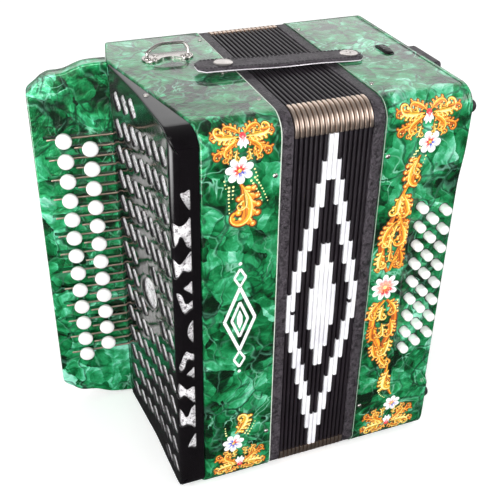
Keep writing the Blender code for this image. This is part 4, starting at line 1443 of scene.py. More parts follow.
def build_bellows_strap():
    strap_band("bellows_strap_leather", LEATHER_LOW, LEATHER_HIGH, 0.0, STRAP_LEATHER,
               ("bellows_strap",))
    strap_band("bellows_strap_lining", 0.0, LINING_HIGH, 0.22, LINING)
    geo = Geo()
    for side in (-1, 1):
        path = []
        s = 4.0
        while s < STRAP_LEN - 2.5:
            path.append(on_strap(s, (strap_half(s) - 1.75) * side, 2.98))
            s += 2.0
        stitches(geo, path, (0, 0, 1))
    s = STRAP_LEN - 2.5
    reach = strap_half(s) - 1.9
    stitches(geo, [on_strap(s, -reach, 2.96), on_strap(s, reach, 2.96)], (0, 0, 1))
    make("bellows_strap_stitching", geo, THREAD, "strap", 60.0)

    # snap cap on the strap and its stud on the case
    s = 21.5
    x, y, z = on_strap(s, 0.0, 2.9)
    make_turned("strap_snap_cap", [(6.2, -0.2), (7.4, 0.1), (7.6, 0.5), (7.2, 0.95),
                                   (6.0, 1.35), (4.2, 1.65), (2.0, 1.82), (0.02, 1.86)],
                (x, y, z), (0, 0, 1), 40, NICKEL, "strap", 50.0, "nickel")
    gap = strap_z(s) - HEIGHT
    make_turned("strap_snap_stud", [(4.2, 0.0), (4.6, 0.2), (4.6, 0.5), (3.4, 0.8),
                                    (3.0, gap - 0.35), (2.6, gap - 0.12)],
                (x, y, HEIGHT), (0, 0, 1), 28, NICKEL, TREBLE, 45.0, "nickel")

    # rivet with three small holes
    x, y = 53.6, -10.2
    z = strap_z((Vector((x, y)) - STRAP_A).dot(STRAP_RUN)) + 2.95
    rivet = make_turned("strap_rivet", [(6.4, -0.3), (7.2, 0.0), (7.35, 0.4), (6.9, 0.8),
                                        (5.6, 0.95), (5.0, 0.75), (4.4, 0.75), (3.8, 1.0),
                                        (2.4, 1.25), (1.2, 1.3), (0.02, 1.3)],
                        (x, y, z), (0, 0, 1), 40, NICKEL, "strap", 40.0, "nickel")
    holes = Geo()
    for i in range(3):
        angle = 0.6 + 2 * math.pi * i / 3
        holes.lathe([(0.75, 0.4), (0.75, 3.0)],
                    (x + 1.9 * math.cos(angle), y + 1.9 * math.sin(angle), z), (0, 0, 1), 12)
    cut(rivet, holes)


# hand strap: bowed out from the end plate, running from bottom to top
HAND_Y0, HAND_Y1 = -37.5, 6.5
HAND_STEPS = 64


def hand_at(t):
    """(x, z) of the strap at t = 0 (bottom) to 1 (top)."""
    u = (t - 0.05) / 0.90
    bow = 27.0 * math.sin(math.pi * u) ** 0.80 if 0 < u < 1 else 0.0
    return 113.9 + bow, 9.0 + 319.0 * t


def hand_pinch(t):
    """Narrowing of each side near the ends."""
    return 5.0 * (1 - smooth(min(t, 1 - t) / 0.10))


def hand_layer(name, inset, low, high, crown, mat, replaces=()):
    edge = 0.5
    loops = []
    for i in range(HAND_STEPS + 1):
        t = i / HAND_STEPS
        x, z = hand_at(t)
        xa, za = hand_at(max(t - 0.5 / HAND_STEPS, 0.0))
        xb, zb = hand_at(min(t + 0.5 / HAND_STEPS, 1.0))
        dx, dz = xb - xa, zb - za
        length = math.hypot(dx, dz)
        out_x, out_z = dz / length, -dx / length
        if out_x < 0.35:
            out_x, out_z = 0.35, -math.copysign(0.93, dx)
        pad = crown * smooth(min(t, 1 - t) / 0.12)
        y0, y1 = HAND_Y0 + inset + hand_pinch(t), HAND_Y1 - inset - hand_pinch(t)
        mid, half = (y0 + y1) / 2, (y1 - y0) / 2
        right = [(half - edge, low), (half, low + edge), (half, high - edge),
                 (half - edge, high), (half * 0.80, high - 0.1),
                 (half * 0.66, high + pad * 0.65), (half * 0.35, high + pad),
                 (0, high + pad * 1.08)]
        squeeze = 0.5 if i in (0, HAND_STEPS) else 1.0
        loops.append([(max(x + out_x * height, 113.62), mid + across, z + out_z * height)
                      for across, height in strap_section(right, low, high, squeeze)])
    make_loft(name, loops, mat, BASS, 50.0, "strap_leather", replaces)


def build_hand_strap():
    hand_layer("hand_strap_leather", 0.0, 1.1, 2.9, 1.1, PAD_LEATHER, ("hand_strap",))
    hand_layer("hand_strap_pad", 1.4, 0.0, 1.05, 0.0, LINING)
    geo = Geo()
    for side in (-1, 1):
        path = []
        for i in range(6, HAND_STEPS - 5):
            t = i / HAND_STEPS
            x, z = hand_at(t)
            half = 22.0 - hand_pinch(t)
            path.append(Vector((x + 3.0, -15.5 + side * half * 0.885, z)))
        # the normal turns with the slope, so the stitches come in short runs
        for start in range(0, len(path) - 4, 4):
            run = path[start:start + 5]
            chord = run[-1] - run[0]
            stitches(geo, run, (chord.z, 0, -chord.x), step=3.4, length=2.3, r=0.34)
    make("hand_strap_stitching", geo, THREAD, BASS, 60.0)

    def block(name, levels, y0, y1, z0, z1, mat, slot):
        """Rounded block growing in X; levels are (x, inset, corner radius)."""
        make_loft(name, [ring_at(rrect(y0 + inset, y1 - inset, z0 + inset, z1 - inset, r, 6), x)
                         for x, inset, r in levels], mat, BASS, 35.0, slot)

    # end clamps with two screws each
    clamp_x = 117.0
    levels = [(clamp_x + height, inset, 3.2)
              for height, inset in ((0.0, 0.6), (0.5, 0.0), (1.2, 0.0), (1.7, 0.7))]
    for i, z in enumerate((319.5, 17.5)):
        block("hand_strap_clamp_%d" % (i + 1), levels, -37.0, 6.0, z - 6.5, z + 6.5, NICKEL,
              "nickel")
        for j, y in enumerate((-28.0, -3.0)):
            screw("hand_strap_screw_%d%d" % (i + 1, j + 1), (clamp_x + 1.6, y, z), (1, 0, 0),
                  3.0, height=1.3, turn=0.5 + i + 1.3 * j, body=BASS)
    # folded leather ends beyond the clamps
    levels = [(x, inset, max(3.0 - inset, 0.5))
              for x, inset in ((113.6, 0.0), (121.6, 0.0), (122.9, 0.5), (123.6, 1.4),
                               (123.9, 2.4))]
    for i, (z0, z1) in enumerate(((326.3, 337.6), (2.4, 10.7))):
        block("hand_strap_end_%d" % (i + 1), levels, -37.0, 6.0, z0, z1, STRAP_LEATHER,
              "strap_leather")


# ------------------------------------------------------------------ metal fittings
def build_bracket():
    """Plate with a bail on top of the treble case."""
    cx, cy = -82.0, 34.5
    front = [(20.6, 0.5), (20.0, -3.4), (17.2, -6.6), (13.4, -7.6), (9.8, -6.4),
             (6.4, -3.0), (3.2, -1.2)]
    back = [(-19.6, 4.4), (-16.6, 7.6), (-12.0, 8.8), (-6.0, 9.2)]
    plate = spline(mirrored(front) + mirrored(back), 4, closed=True)
    loops = []
    for height, inset in ((0.05, 0.25), (0.35, 0.0), (1.1, 0.0), (1.5, 0.25), (1.65, 0.8)):
        scale = 1.0 - inset / 14.0
        loops.append([(cx + x * scale, cy + y * scale, HEIGHT + height) for x, y in plate])
    make_loft("bracket_plate", loops, NICKEL, TREBLE, 35.0, "nickel", ("strap_bracket",))
    bail = [(-16.5, -1.0, 1.2), (-16.7, -0.6, 4.0), (-15.9, 0.2, 6.2), (-12.5, 1.6, 8.0),
            (-8.0, 2.9, 9.8), (-5.0, 3.4, 10.5), (-1.5, 3.6, 10.7), (9.5, 3.2, 10.6),
            (13.0, 3.0, 10.4), (15.4, 2.2, 9.2), (16.8, 1.0, 6.4), (16.9, 0.0, 3.6),
            (16.5, -1.0, 1.2)]
    geo = Geo()
    geo.tube(spline([(cx + x, cy + y, HEIGHT + z) for x, y, z in bail], 5), circle(1.35, 14))
    make("bracket_bail", geo, NICKEL, TREBLE, 60.0, "nickel")
    for i, side in enumerate((-1, 1)):
        make_turned("bracket_collar_%d" % (i + 1),
                    [(2.7, 0.0), (2.9, 0.3), (2.7, 0.9), (1.9, 1.3)],
                    (cx + 16.5 * side, cy - 1.2, HEIGHT + 1.5), (0, 0, 1), 24, NICKEL, TREBLE,
                    45.0, "nickel")
    for i, (x, y) in enumerate(((-8.6, 4.2), (-11.4, -3.6), (11.6, -2.4))):
        screw("bracket_screw_%d" % (i + 1), (cx + x, cy + y, HEIGHT + 1.6), (0, 0, 1), 2.3,
              height=0.9, turn=0.7 + i * 1.1, body=TREBLE)


def build_pins():
    """Domed pins on the front, back and top, close to each bellows frame."""
    large = [(2.0, -0.3), (2.05, 0.1), (1.8, 0.75), (1.2, 1.2), (0.5, 1.42), (0.02, 1.46)]
    small = [(1.6, -0.3), (1.65, 0.1), (1.4, 0.6), (0.8, 0.95), (0.02, 1.1)]
    number = 0
    for body, x in ((TREBLE, -45.0), (BASS, 44.6)):
        pins = [(large, (x, y, z), (0, out, 0))
                for y, out in ((FRONT, -1), (BACK, 1)) for z in (296.2, 50.2)]
        pins += [(small, (x, y, HEIGHT), (0, 0, 1)) for y in (-66.0, 66.0)]
        for profile, centre, axis in pins:
            number += 1
            make_turned("bellows_pin_%02d" % number, profile, centre, axis, 20, NICKEL, body,
                        50.0, "nickel")


# ------------------------------------------------------------------ ornaments
def ray(x, z, angle, reaches):
    return [(x + math.cos(angle) * reach, z + math.sin(angle) * reach) for reach in reaches]


class Art:
    """Painted ornament: thin raised strokes on the front of one half.

    There is one mesh per colour; angles are in degrees from +X towards +Z.
    """

    def __init__(self, prefix, body):
        self.prefix, self.body = prefix, body
        self.geos = {}
        self.level = 0

    def geo(self, key):
        return self.geos.setdefault(key, Geo())

    def skin(self, x, z, height):
        """Point over the front; z runs on round the upper and lower edges."""
        reach = CORNER_R + height
        if z > HEIGHT - CORNER_R:
            angle = min((z - (HEIGHT - CORNER_R)) / CORNER_R, 1.4)
            return (x, FRONT + CORNER_R - reach * math.cos(angle),
                    HEIGHT - CORNER_R + reach * math.sin(angle))
        if z < CORNER_R:
            angle = min((CORNER_R - z) / CORNER_R, 1.4)
            return (x, FRONT + CORNER_R - reach * math.cos(angle),
                    CORNER_R - reach * math.sin(angle))
        return (x, (front_y(x, z) if self.body == BASS else FRONT) - height, z)

    def ribbon(self, key, pts, width, height, off=0.0):
        """pts: [(x, z)]; width(t) half width; off, or off(t), shifts it to the left."""
        last = len(pts) - 1
        loops = []
        for i, (x, z) in enumerate(pts):
            before, after = pts[max(i - 1, 0)], pts[min(i + 1, last)]
            dx, dz = after[0] - before[0], after[1] - before[1]
            length = math.hypot(dx, dz) or 1.0
            left_x, left_z = -dz / length, dx / length
            t = i / last
            half = max(width(t), 0.04)
            shift = off(t) if callable(off) else off
            cx, cz = x + left_x * shift, z + left_z * shift
            loops.append([self.skin(cx + left_x * half, cz + left_z * half, 0.02),
                          self.skin(cx, cz, height),
                          self.skin(cx - left_x * half, cz - left_z * half, 0.02),
                          self.skin(cx, cz, -0.08)])
        self.geo(key).loft(loops)

    def dot(self, key, x, z, r, height=0.35):
        self.geo(key).loft([[self.skin(x + a, z + b, level) for a, b in circle(r * size, 12)]
                            for size, level in ((0.9, -0.08), (1.0, 0.03),
                                                (0.72, height * 0.75), (0.2, height))])

    def scroll(self, x, z, angle, size, flip, lead, leaves=4, fat=1.0, tone=0):
        """A fat comma-shaped leaf that rolls up, with short lobes along its back.

        flip: +1 rolls to the left, -1 to the right; lead: turn of the first half.
        """
        base, body, lit = (("orange", "gold", "yellow"), ("gold", "yellow", "lime"),
                           ("rust", "orange", "gold"))[tone % 3]
        # each scroll lies a little higher than the one before, so strokes can't coincide
        self.level = (self.level + 1) % 9
        lift = 0.012 * self.level
        steps = 34
        length = size * 1.3
        heading = math.radians(angle)
        px, pz = x, z
        pts, headings = [(px, pz)], [heading]
        for i in range(steps):
            t = (i + 0.5) / steps
            rate = lead / 0.5 if t < 0.5 else flip * (5.0 + 18.0 * (t - 0.5))
            heading += rate / steps
            px += math.cos(heading) * length / steps
            pz += math.sin(heading) * length / steps
            pts.append((px, pz))
            headings.append(heading)
        widest = size * 0.118 * fat

        def half(t):
            return (widest * (0.22 + 0.78 * smooth(t / 0.30))
                    * (1 - 0.70 * smooth((t - 0.38) / 0.58)))

        def lobe(i, side, reach, wide, spread):
            t = i / steps
            out_x, out_z = -math.sin(headings[i]) * side, math.cos(headings[i]) * side
            lx, lz = pts[i][0] + out_x * half(t) * 0.45, pts[i][1] + out_z * half(t) * 0.45
            turn = headings[i] + side * spread
            path = []
            count = 9
            for _ in range(count + 1):
                path.append((lx, lz))
                turn += side * 1.0 / count
                lx += math.cos(turn) * reach / count
                lz += math.sin(turn) * reach / count

            def drop(u):
                return wide * math.sin(math.pi * (0.14 + 0.68 * u)) ** 0.8

            self.dot("brown", lx, lz, wide * 1.0 + 0.15, 0.08 + lift)
            self.dot(base, lx, lz, wide * 0.85, 0.16 + lift)
            self.dot(lit, lx, lz, wide * 0.42, 0.26 + lift)
            self.ribbon("brown", path, lambda u: drop(u) + 0.32, 0.07 + lift)
            self.ribbon(base, path, drop, 0.13 + lift)
            self.ribbon(body, path[:-1], lambda u: drop(u) * 0.52, 0.19 + lift,
                        side * wide * 0.18)
            self.ribbon(lit, path[1:-2], lambda u: drop(u) * 0.20, 0.24 + lift,
                        side * wide * 0.45)

        for j in range(leaves):
            t = 0.10 + 0.46 * j / max(leaves - 1, 1)
            lobe(int(t * steps), -flip, size * (0.165 - 0.06 * t), size * 0.074 * fat, 0.42)
        for t in (0.20, 0.40):
            lobe(int(t * steps), flip, size * 0.11, size * 0.062 * fat, 0.6)
        self.ribbon("brown", pts, lambda t: half(t) + 0.42, 0.08 + lift)
        self.ribbon(base, pts, half, 0.15 + lift)
        # (colour, path, share of the half width, height, shift as a share of it)
        for key, path, share, height, shift in (
                (body, pts[1:-1], 0.60, 0.21, -0.16), (lit, pts[3:-4], 0.24, 0.27, -0.56),
                ("brown", pts[2:-8], 0.10, 0.25, 0.34), ("brown", pts[5:-14], 0.07, 0.27, 0.0)):
            self.ribbon(key, path, lambda t: half(t) * share, height + lift,
                        lambda t: flip * half(t) * shift)
        for key, r, height in (("brown", 0.092, 0.16), (base, 0.078, 0.24),
                               (body, 0.054, 0.32), ("lime", 0.026, 0.40)):
            self.dot(key, px, pz, size * r * (0.6 + 0.4 * fat), height + lift)
        # beads held inside the roll
        in_x, in_z = -math.sin(heading) * flip, math.cos(heading) * flip
        for key, ahead in (("yellow", 0.05), ("gold", -0.07)):
            self.dot(key, px + (in_x * 0.13 + math.cos(heading) * ahead) * size,
                     pz + (in_z * 0.13 + math.sin(heading) * ahead) * size, size * 0.030,
                     0.28 + lift)

    def leaf(self, x, z, size, angle, flip, lead, tone=0):
        """A long leaf with a rolled tip and a second, paler leaf along it."""
        self.scroll(x, z, angle, size, flip, lead, leaves=5, fat=1.12, tone=tone)
        (x, z), = ray(x, z, math.radians(angle), [size * 0.10])
        self.scroll(x, z, angle + math.degrees(flip * 0.25), size * 0.52, flip, lead * 0.5,
                    leaves=3, fat=0.9, tone=tone + 1)

    def scrolls(self, table):
        """Rows of x, z, angle, size, flip, lead, leaves, fat, tone."""
        for row in table:
            self.scroll(*row)

    def petal(self, x, z, r, angle, widest):
        c, s = math.cos(angle), math.sin(angle)

        def half(rho):
            if rho > 0.66:
                return widest * math.sqrt(max(1 - ((rho - 0.66) / 0.34) ** 2, 0.0))
            return widest * (max(rho, 0.0) / 0.66) ** 0.8

        reaches = [0.06, 0.2, 0.36, 0.52, 0.66, 0.80, 0.90, 0.97, 1.0]
        ring = [(rho * r, half(rho)) for rho in reaches] + [(0.955 * r, 0.0)]
        ring += [(rho * r, -half(rho)) for rho in reversed(reaches)]
        ring = [(x + c * u - s * v, z + s * u + c * v) for u, v in ring]
        mx, mz = x + c * r * 0.62, z + s * r * 0.62
        self.geo("white").loft([[self.skin(mx + (px - mx) * size, mz + (pz - mz) * size, level)
                                 for px, pz in ring]
                                for size, level in ((0.97, -0.08), (1.0, 0.05), (0.82, 0.24),
                                                    (0.3, 0.30))])

    def flower(self, x, z, r, petals, turn, inner=("red", "blue"), heart="gold", bold=1.0):
        """White petals with coloured strokes; inner: colours of the first and last ones."""
        self.dot("brown", x, z, r * 0.24, 0.12)
        spread = math.pi / petals
        stroke = r * 0.085 * bold
        for i in range(petals):
            angle = turn + 2 * math.pi * i / petals
            self.petal(x, z, r, angle, r * 0.66 * math.tan(spread) * 0.90)
            key = inner[0] if i < petals * 0.6 else inner[1]
            for lean, reach in ((-0.50, 0.50), (-0.2, 0.62), (0.12, 0.68), (0.45, 0.54)):
                path = ray(x, z, angle + lean * spread,
                           [r * (0.12 + reach * t) for t in (0.0, 0.3, 0.6, 0.85, 1.0)])
                self.ribbon(key, path, lambda t: stroke * (1 - t * 0.92) + 0.03, 0.38)
        self.dot(heart, x, z, r * 0.19, 0.55)
        self.dot("yellow", x - r * 0.03, z + r * 0.03, r * 0.11, 0.66)
        for i in range(6):
            angle = turn + 0.4 + 2 * math.pi * i / 6
            self.dot("gold", x + math.cos(angle) * r * 0.25, z + math.sin(angle) * r * 0.25,
                     r * 0.045, 0.5)

    def bud(self, x, z, r, angle):
        """Half-open bud: white petals with a red cup, pointing along angle."""
        angle = math.radians(angle)
        for lean, reach in ((-0.55, 1.0), (-0.2, 1.25), (0.2, 1.25), (0.55, 1.0)):
            path = ray(x, z, angle + lean, [r * reach * t for t in (0, 0.25, 0.5, 0.75, 1.0)])
            self.ribbon("white", path, lambda t: r * 0.24 * math.sin(
                math.pi * (0.25 + 0.70 * t)) ** 0.8, 0.24)
        for lean, reach in ((-0.4, 0.5), (0.0, 0.62), (0.4, 0.5)):
            path = ray(x, z, angle + lean, [r * reach * t for t in (0, 0.3, 0.6, 1.0)])
            self.ribbon("red", path, lambda t: r * 0.19 * (1 - 0.8 * t), 0.34)
        self.dot("red", x, z, r * 0.34, 0.4)
        self.dot("pink", x + math.cos(angle) * r * 0.1, z + math.sin(angle) * r * 0.1,
                 r * 0.16, 0.5)

    def beads(self, table):
        """Curved rows of dots: x, z, angle, count, step, bend, first and last radius."""
        for x, z, angle, count, step, bend, first, last in table:
            heading = math.radians(angle)
            for i in range(count):
                self.dot("lime", x, z, first + (last - first) * (i / (count - 1)), 0.3)
                x += math.cos(heading) * step
                z += math.sin(heading) * step
                heading += math.radians(bend)

    def stem(self, pts, widest, key, tint):
        """Broad stem that leaves grow from."""
        path = spline(pts, 6)

        def half(t):
            return widest * math.sin(math.pi * (0.08 + 0.86 * t))

        self.ribbon("brown", path, lambda t: half(t) + 0.35, 0.05)
        self.ribbon(key, path, half, 0.09)
        self.ribbon(tint, path, lambda t: half(t) * 0.42, 0.13, widest * 0.3)
        self.ribbon("brown", path, lambda t: widest * 0.09, 0.14, -widest * 0.35)

    def cluster(self, cx, z_bud, spread, up):
        """Bud with scrolls sweeping out to both sides.

        spread: half width; up: +1 for the upper group, -1 mirrored.
        """
        wide = spread / 24.0
        for side in (-1, 1):
            for x, z, angle, size, flip, lead, leaves, tone in (
                    (12.0, 3.4, -6, 13.0, -1, 0.3, 3, 2),
                    (9.0, -6.0, -30, 16.0, -1, 0.3, 4, 2),
                    (9.5, -8.5, -78, 11.0, 1, 0.1, 3, 0),
                    (3.0, 0.6, 0, 21.0, 1, 0.15, 5, 1),
                    (1.0, 2.0, 50, 16.0, -1, -0.5, 4, 0),
                    (2.0, -0.8, -22, 19.5, -1, -0.45, 5, 0),
                    (4.2, -8.0, -80, 10.5, -1, 0.0, 3, 1)):
                if side < 0:
                    angle = 180 - angle
                turn = side * up
                self.scroll(cx + side * x * wide, z_bud + z * up, angle * up,
                            size * (0.5 + 0.5 * wide), flip * turn, lead * turn,
                            leaves=leaves, tone=tone)
        self.bud(cx, z_bud + 1.2 * up, 7.4, -90 * up)

    def finish(self):
        for key, geo in self.geos.items():
            make("%s_%s" % (self.prefix, key), geo, PAINTS[key], self.body, 40.0)


def build_treble_ornament():
    art = Art("treble_ornament", TREBLE)
    # upper group
    art.cluster(-69.5, 329.0, 23.5, up=1)
    art.flower(-71.8, 304.6, 10.8, petals=7, turn=0.35)
    art.leaf(-71.0, 294.0, 40.0, -58, flip=-1, lead=-0.65)
    art.beads(((-63.0, 295.2, -58, 8, 2.7, -2.0, 0.95, 0.55),
               (-60.2, 297.4, -57, 9, 2.8, -2.0, 0.95, 0.5),
               (-79.6, 292.4, -92, 8, 2.9, 1.0, 1.0, 0.6),
               (-76.4, 292.6, -94, 4, 3.1, 1.0, 0.9, 0.6),
               (-83.0, 298.0, -80, 3, 3.0, 0.0, 0.8, 0.5),
               (-60.6, 304.0, -70, 3, 3.0, 0.0, 0.8, 0.6)))
    # lower group
    art.cluster(-69.0, 20.5, 24.0, up=-1)
    art.flower(-75.0, 45.6, 9.8, petals=7, turn=2.0, inner=("blue", "red"))
    art.leaf(-73.5, 56.5, 25.0, 38, flip=1, lead=0.55, tone=1)
    art.beads(((-64.5, 54.0, 60, 6, 2.8, 4.0, 0.9, 0.6),
               (-61.8, 52.5, 58, 6, 2.8, 3.0, 0.85, 0.5),
               (-81.4, 56.6, 100, 4, 2.8, -4.0, 0.9, 0.6)))
    art.finish()


def build_treble_emblem():
    """Plain stacked lozenges in the middle of the treble front."""
    art = Art("treble_emblem", TREBLE)
    cx, cz = -70.5, 176.0

    def lozenge(z, half_w, half_h, stroke):
        pts = [(cx, z + half_h), (cx + half_w, z), (cx, z - half_h), (cx - half_w, z),
               (cx, z + half_h)]
        for a, b in zip(pts, pts[1:]):
            art.ribbon("white", [(a[0] + (b[0] - a[0]) * t, a[1] + (b[1] - a[1]) * t)
                                 for t in (0, 0.25, 0.5, 0.75, 1)], lambda t: stroke, 0.2)

    lozenge(cz, 12.5, 30.0, 1.35)
    lozenge(cz, 6.6, 16.5, 1.1)
    for side in (-1, 1):
        lozenge(cz + side * 39.0, 4.6, 8.0, 1.0)
        art.dot("white", cx, cz + side * 51.5, 1.5)
    art.ribbon("white", [(cx, cz + dz) for dz in (-8.5, -3.0, 3.0, 8.5)],
               lambda t: 2.6 * math.sin(math.pi * (0.04 + 0.92 * t)), 0.25)
    art.finish()


def build_bass_ornament():
    art = Art("bass_ornament", BASS)
    # upper group
    art.cluster(75.5, 326.0, 29.0, up=1)
    art.flower(79.4, 302.6, 9.6, petals=6, turn=0.9)
    art.leaf(72.8, 293.0, 31.0, -122, flip=1, lead=0.5)
    art.beads(((68.6, 296.5, -122, 8, 2.7, 3.0, 0.9, 0.5),
               (71.4, 299.0, -124, 6, 2.7, 3.0, 0.9, 0.5),
               (77.5, 291.5, -100, 4, 2.9, -6.0, 0.8, 0.5)))
    # long column: stems as (x, z) points, half width, colour and lit colour
    for stem in (
            ([(64.5, 268.0), (60.0, 256.0), (61.5, 244.0), (66.5, 232.0), (67.5, 218.0),
              (62.0, 204.0), (57.5, 192.0)], 3.3, "orange", "gold"),
            ([(60.0, 252.0), (55.0, 240.0), (50.0, 228.0), (48.5, 214.0), (51.5, 201.0),
              (56.0, 191.0)], 3.1, "rust", "orange"),
            ([(63.0, 240.0), (57.5, 229.0), (55.5, 217.0), (58.5, 206.0)], 2.2, "gold",
             "yellow"),
            ([(57.0, 163.0), (50.0, 154.0), (47.5, 142.0), (50.5, 129.0), (55.5, 117.0),
              (59.5, 104.0), (64.0, 93.0)], 3.2, "orange", "gold"),
            ([(59.0, 163.0), (66.5, 153.0), (68.5, 140.0), (66.0, 128.0), (61.0, 116.0),
              (62.0, 104.0)], 3.0, "rust", "orange"),
            ([(68.0, 92.0), (67.5, 78.0), (70.5, 66.0), (75.5, 54.0)], 2.2, "orange",
             "gold")):
        art.stem(*stem)
    # upper part of the column
    art.scrolls(((61.5, 262.0, -118, 22.0, -1, 0.5, 4, 1.1, 1),
                 (62.5, 262.5, -76, 25.0, -1, 0.1, 4, 1.2, 0),
                 (60.5, 247.0, -62, 22.0, 1, -0.2, 4, 1.1, 2),
                 (59.0, 238.0, -140, 26.0, 1, 0.6, 5, 1.1, 0),
                 (62.5, 238.0, -66, 27.0, -1, -0.3, 5, 1.1, 0),
                 (56.5, 229.0, -110, 17.0, -1, 0.2, 3, 1.0, 1),
                 (50.0, 213.0, -112, 21.0, 1, 0.4, 4, 1.1, 1),
                 (64.5, 213.0, -70, 22.0, -1, -0.3, 4, 1.1, 2),
                 (57.5, 214.0, -95, 15.0, 1, 0.0, 3, 1.0, 0),
                 (54.0, 199.5, -165, 12.0, 1, 0.3, 3, 1.0, 0),
                 (60.0, 199.5, -15, 12.0, -1, -0.3, 3, 1.0, 0)))
    art.beads(((70.6, 226.0, -100, 7, 2.7, -3.0, 0.8, 0.5),
               (45.5, 205.0, -80, 5, 2.7, 6.0, 0.8, 0.5)))
    # large flower with a beaded heart
    x, z = 56.0, 176.0
    art.flower(x, z, 12.6, petals=9, turn=0.2, inner=("pink", "red"), heart="lime", bold=2.4)
    for i in range(12):
        angle = 2 * math.pi * i / 12
        for key, reach, r, ahead in (("lime", 4.6, 0.6, 0.0), ("gold", 3.0, 0.45, 0.26)):
            art.dot(key, x + math.cos(angle + ahead) * reach,
                    z + math.sin(angle + ahead) * reach, r, 0.6)
    # lower part of the column
    art.scrolls(((53.0, 162.0, -138, 22.0, 1, 0.5, 4, 1.1, 0),
                 (60.5, 162.0, -45, 20.0, -1, -0.4, 4, 1.1, 0),
                 (56.5, 158.0, -100, 18.0, 1, 0.1, 4, 1.1, 1),
                 (50.0, 141.0, -105, 22.0, 1, 0.3, 5, 1.1, 2),
                 (65.0, 142.0, -78, 22.0, -1, -0.2, 5, 1.1, 0),
                 (57.0, 139.0, -82, 17.0, -1, 0.0, 3, 1.0, 1),
                 (51.0, 119.0, -88, 21.0, 1, 0.3, 4, 1.1, 0),
                 (66.5, 121.0, -100, 22.0, -1, -0.1, 4, 1.1, 1),
                 (58.0, 117.0, -96, 15.0, 1, 0.0, 3, 1.0, 2),
                 (58.0, 104.0, -70, 19.0, 1, 0.3, 4, 1.1, 0),
                 (66.5, 100.0, -100, 14.0, -1, 0.0, 3, 1.0, 0)))
    art.beads(((45.8, 160.0, -95, 5, 2.7, 6.0, 0.9, 0.6),
               (69.8, 160.0, -85, 5, 2.7, 0.0, 0.9, 0.6)))
    art.leaf(70.0, 84.0, 26.0, -112, flip=1, lead=0.35, tone=1)
    art.beads(((62.0, 62.0, -70, 6, 2.5, 8.0, 0.8, 0.5),))
    # lower group
    art.flower(78.0, 43.0, 8.4, petals=7, turn=0.5, inner=("pink", "blue"))
    art.cluster(75.0, 21.0, 28.5, up=-1)
    art.finish()


# ------------------------------------------------------------------ assembly
build_treble_case()
build_bellows_frame("treble_bellows_frame", -1, TREBLE)
build_bellows_frame("bass_bellows_frame", 1, BASS)
build_trim("treble_edge_trim", -1, TREBLE, width=0.85, mat=CREAM)
build_trim("bass_edge_trim", 1, BASS, width=0.6, mat=TRIM_PAINTED_SHADE)
build_fingerboard()
for _k in range(KEYS):
    build_key(_k)
build_rod()
build_grille_cover()
build_grille_flanges()
build_grille_cloth()
build_grille_screws()
build_folds()
build_gussets()
build_bass_case()
build_end_cover()
build_bass_buttons()
build_air_key()
build_bellows_strap()
build_hand_strap()
build_bracket()
build_pins()
build_treble_ornament()
build_treble_emblem()
build_bass_ornament()


# ------------------------------------------------------------------ stage
def floor_material():
    """Pale to the camera, darker in reflections except for a painted bright patch far to the
    left.
    """
    s = Shade("pale_floor")
    tint = s.ramp(s.noise(2.0, detail=2.0), [(0.3, (0.93, 0.925, 0.92)),
                                             (0.7, (0.95, 0.95, 0.95))])
    seen = s.node("LightPath", out="Is Camera Ray")
    gloss = s.node("LightPath", out="Is Glossy Ray")
    # far to the left the floor is brighter in reflections only: a painted reflection that puts
    # a highlight on the rounded corners
    x = s.node("SeparateXYZ", {"Vector": s.co}, 0)
    sweep = s.node("MapRange", {"Value": x, "From Min": -0.50, "From Max": -0.66,
                                "To Min": 0.0, "To Max": 1.0})
    mirror = s.mix(sweep, (0.055, 0.055, 0.055), (0.95, 0.95, 0.95))
    away = s.mix(gloss, (0.60, 0.60, 0.60), mirror)
    # and it glows there in a band along X, for reflections only: painted light that is no lamp
    y = s.node("SeparateXYZ", {"Vector": s.co}, 1)
    near = s.node("MapRange", {"Value": s.math("ABSOLUTE", s.math("ADD", y, 0.18)),
                               "From Min": 0.16, "From Max": 0.34,
                               "To Min": 1.0, "To Max": 0.0})
    glow = s.math("MULTIPLY", s.math("MULTIPLY", sweep, near),
                  s.math("MULTIPLY", gloss, 9.0))
    s.set(Base_Color=s.mix(seen, away, tint), Roughness=0.7,
          Emission_Color=(1.0, 1.0, 1.0),
          Emission_Strength=s.math("ADD", s.math("MULTIPLY", seen, 0.24), glow),
          Specular_IOR_Level=0.1)
    return s.mat


def build_floor():
    cells, size = 24, 14000.0
    geo = Geo()
    for i in range(cells + 1):
        for j in range(cells + 1):
            geo.point((i / cells - 0.5) * size, (j / cells - 0.5) * size, -0.4)
    for i in range(cells):
        for j in range(cells):
            a = i * (cells + 1) + j
            geo.faces.append((a, a + cells + 1, a + cells + 2, a + 1))
    make("studio_floor", geo, floor_material(), angle=30.0)


def softbox(name, direction, dist, size, radiance):
    """Area light aimed at the instrument; metres."""
    direction = Vector(direction).normalized()
    light = bpy.data.lights.new(name, "AREA")
    light.shape = "RECTANGLE"
    light.size, light.size_y = size
    light.energy = radiance * math.pi * size[0] * size[1]
    obj = bpy.data.objects.new(name, light)
    bpy.context.scene.collection.objects.link(obj)
    obj.location = Vector((0.07, 0.0, 0.17)) + direction * dist
    obj.rotation_euler = direction.to_track_quat("Z", "Y").to_euler()


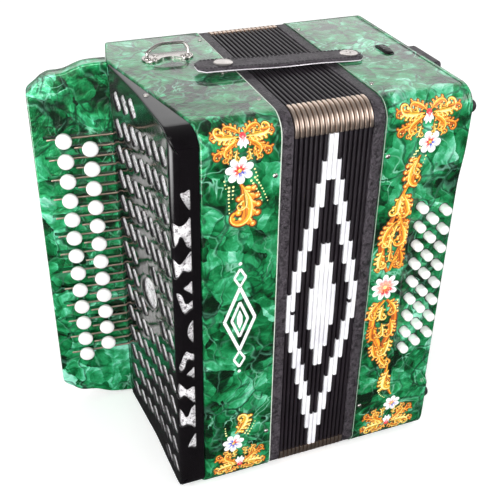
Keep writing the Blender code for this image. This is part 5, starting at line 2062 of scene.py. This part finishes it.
def build_world():
    """White to the camera; in reflections brighter at the back, else brighter below."""
    world = bpy.data.worlds.new("studio_world")
    bpy.context.scene.world = world
    w = Nodes(world)
    y = w.node("SeparateXYZ", {0: w.node("TexCoord", out="Generated")}, "Y")
    mirrored_light = w.node("MapRange", {"Value": y, "From Min": -0.8, "From Max": 0.8,
                                         "To Min": 0.08, "To Max": 0.42})
    fill_light = w.node("MapRange", {"Value": y.node.outputs["Z"], "From Min": 0.0,
                                     "From Max": 1.0, "To Min": 0.92, "To Max": 0.22})
    seen = w.node("LightPath", out="Is Camera Ray")
    gloss = seen.node.outputs["Is Glossy Ray"]
    unseen = w.node("Mix", {0: gloss, 2: fill_light, 3: mirrored_light}, data_type="FLOAT")
    strength = w.node("Mix", {0: seen, 2: unseen, 3: 1.0}, data_type="FLOAT")
    background = w.node("Background", {"Strength": strength, "Color": (1.0, 1.0, 1.0)})
    out = w.tree.nodes.new("ShaderNodeOutputWorld")
    w.put(out.inputs[0], background)


def build_camera():
    camera = bpy.data.cameras.new("camera")
    camera.lens = 61.28
    camera.sensor_width = 36.0
    camera.clip_end = 50.0
    obj = bpy.data.objects.new("camera", camera)
    bpy.context.scene.collection.objects.link(obj)
    right = Vector((0.9319, -0.3625, 0.0158))
    forward = Vector((0.3133, 0.7819, -0.5390)).normalized()
    right = (right - forward * right.dot(forward)).normalized()
    pose = Matrix((right, right.cross(forward), -forward)).transposed().to_4x4()
    pose.translation = Vector((-0.1883, -0.5866, 0.5738))
    obj.matrix_world = pose
    bpy.context.scene.camera = obj


build_floor()
softbox("softbox_back", (0.34, 0.86, 0.62), dist=2.6, size=(3.0, 1.7), radiance=1.05)
softbox("softbox_front", (-0.42, -0.85, 0.46), dist=2.6, size=(1.5, 1.2), radiance=8.2)
softbox("softbox_left", (-1.0, -0.30, 0.42), dist=2.4, size=(1.0, 1.4), radiance=5.2)
softbox("softbox_right", (1.0, -0.75, 0.6), dist=2.6, size=(1.2, 1.4), radiance=4.0)
build_world()
build_camera()
bpy.context.scene.view_settings.view_transform = "Standard"
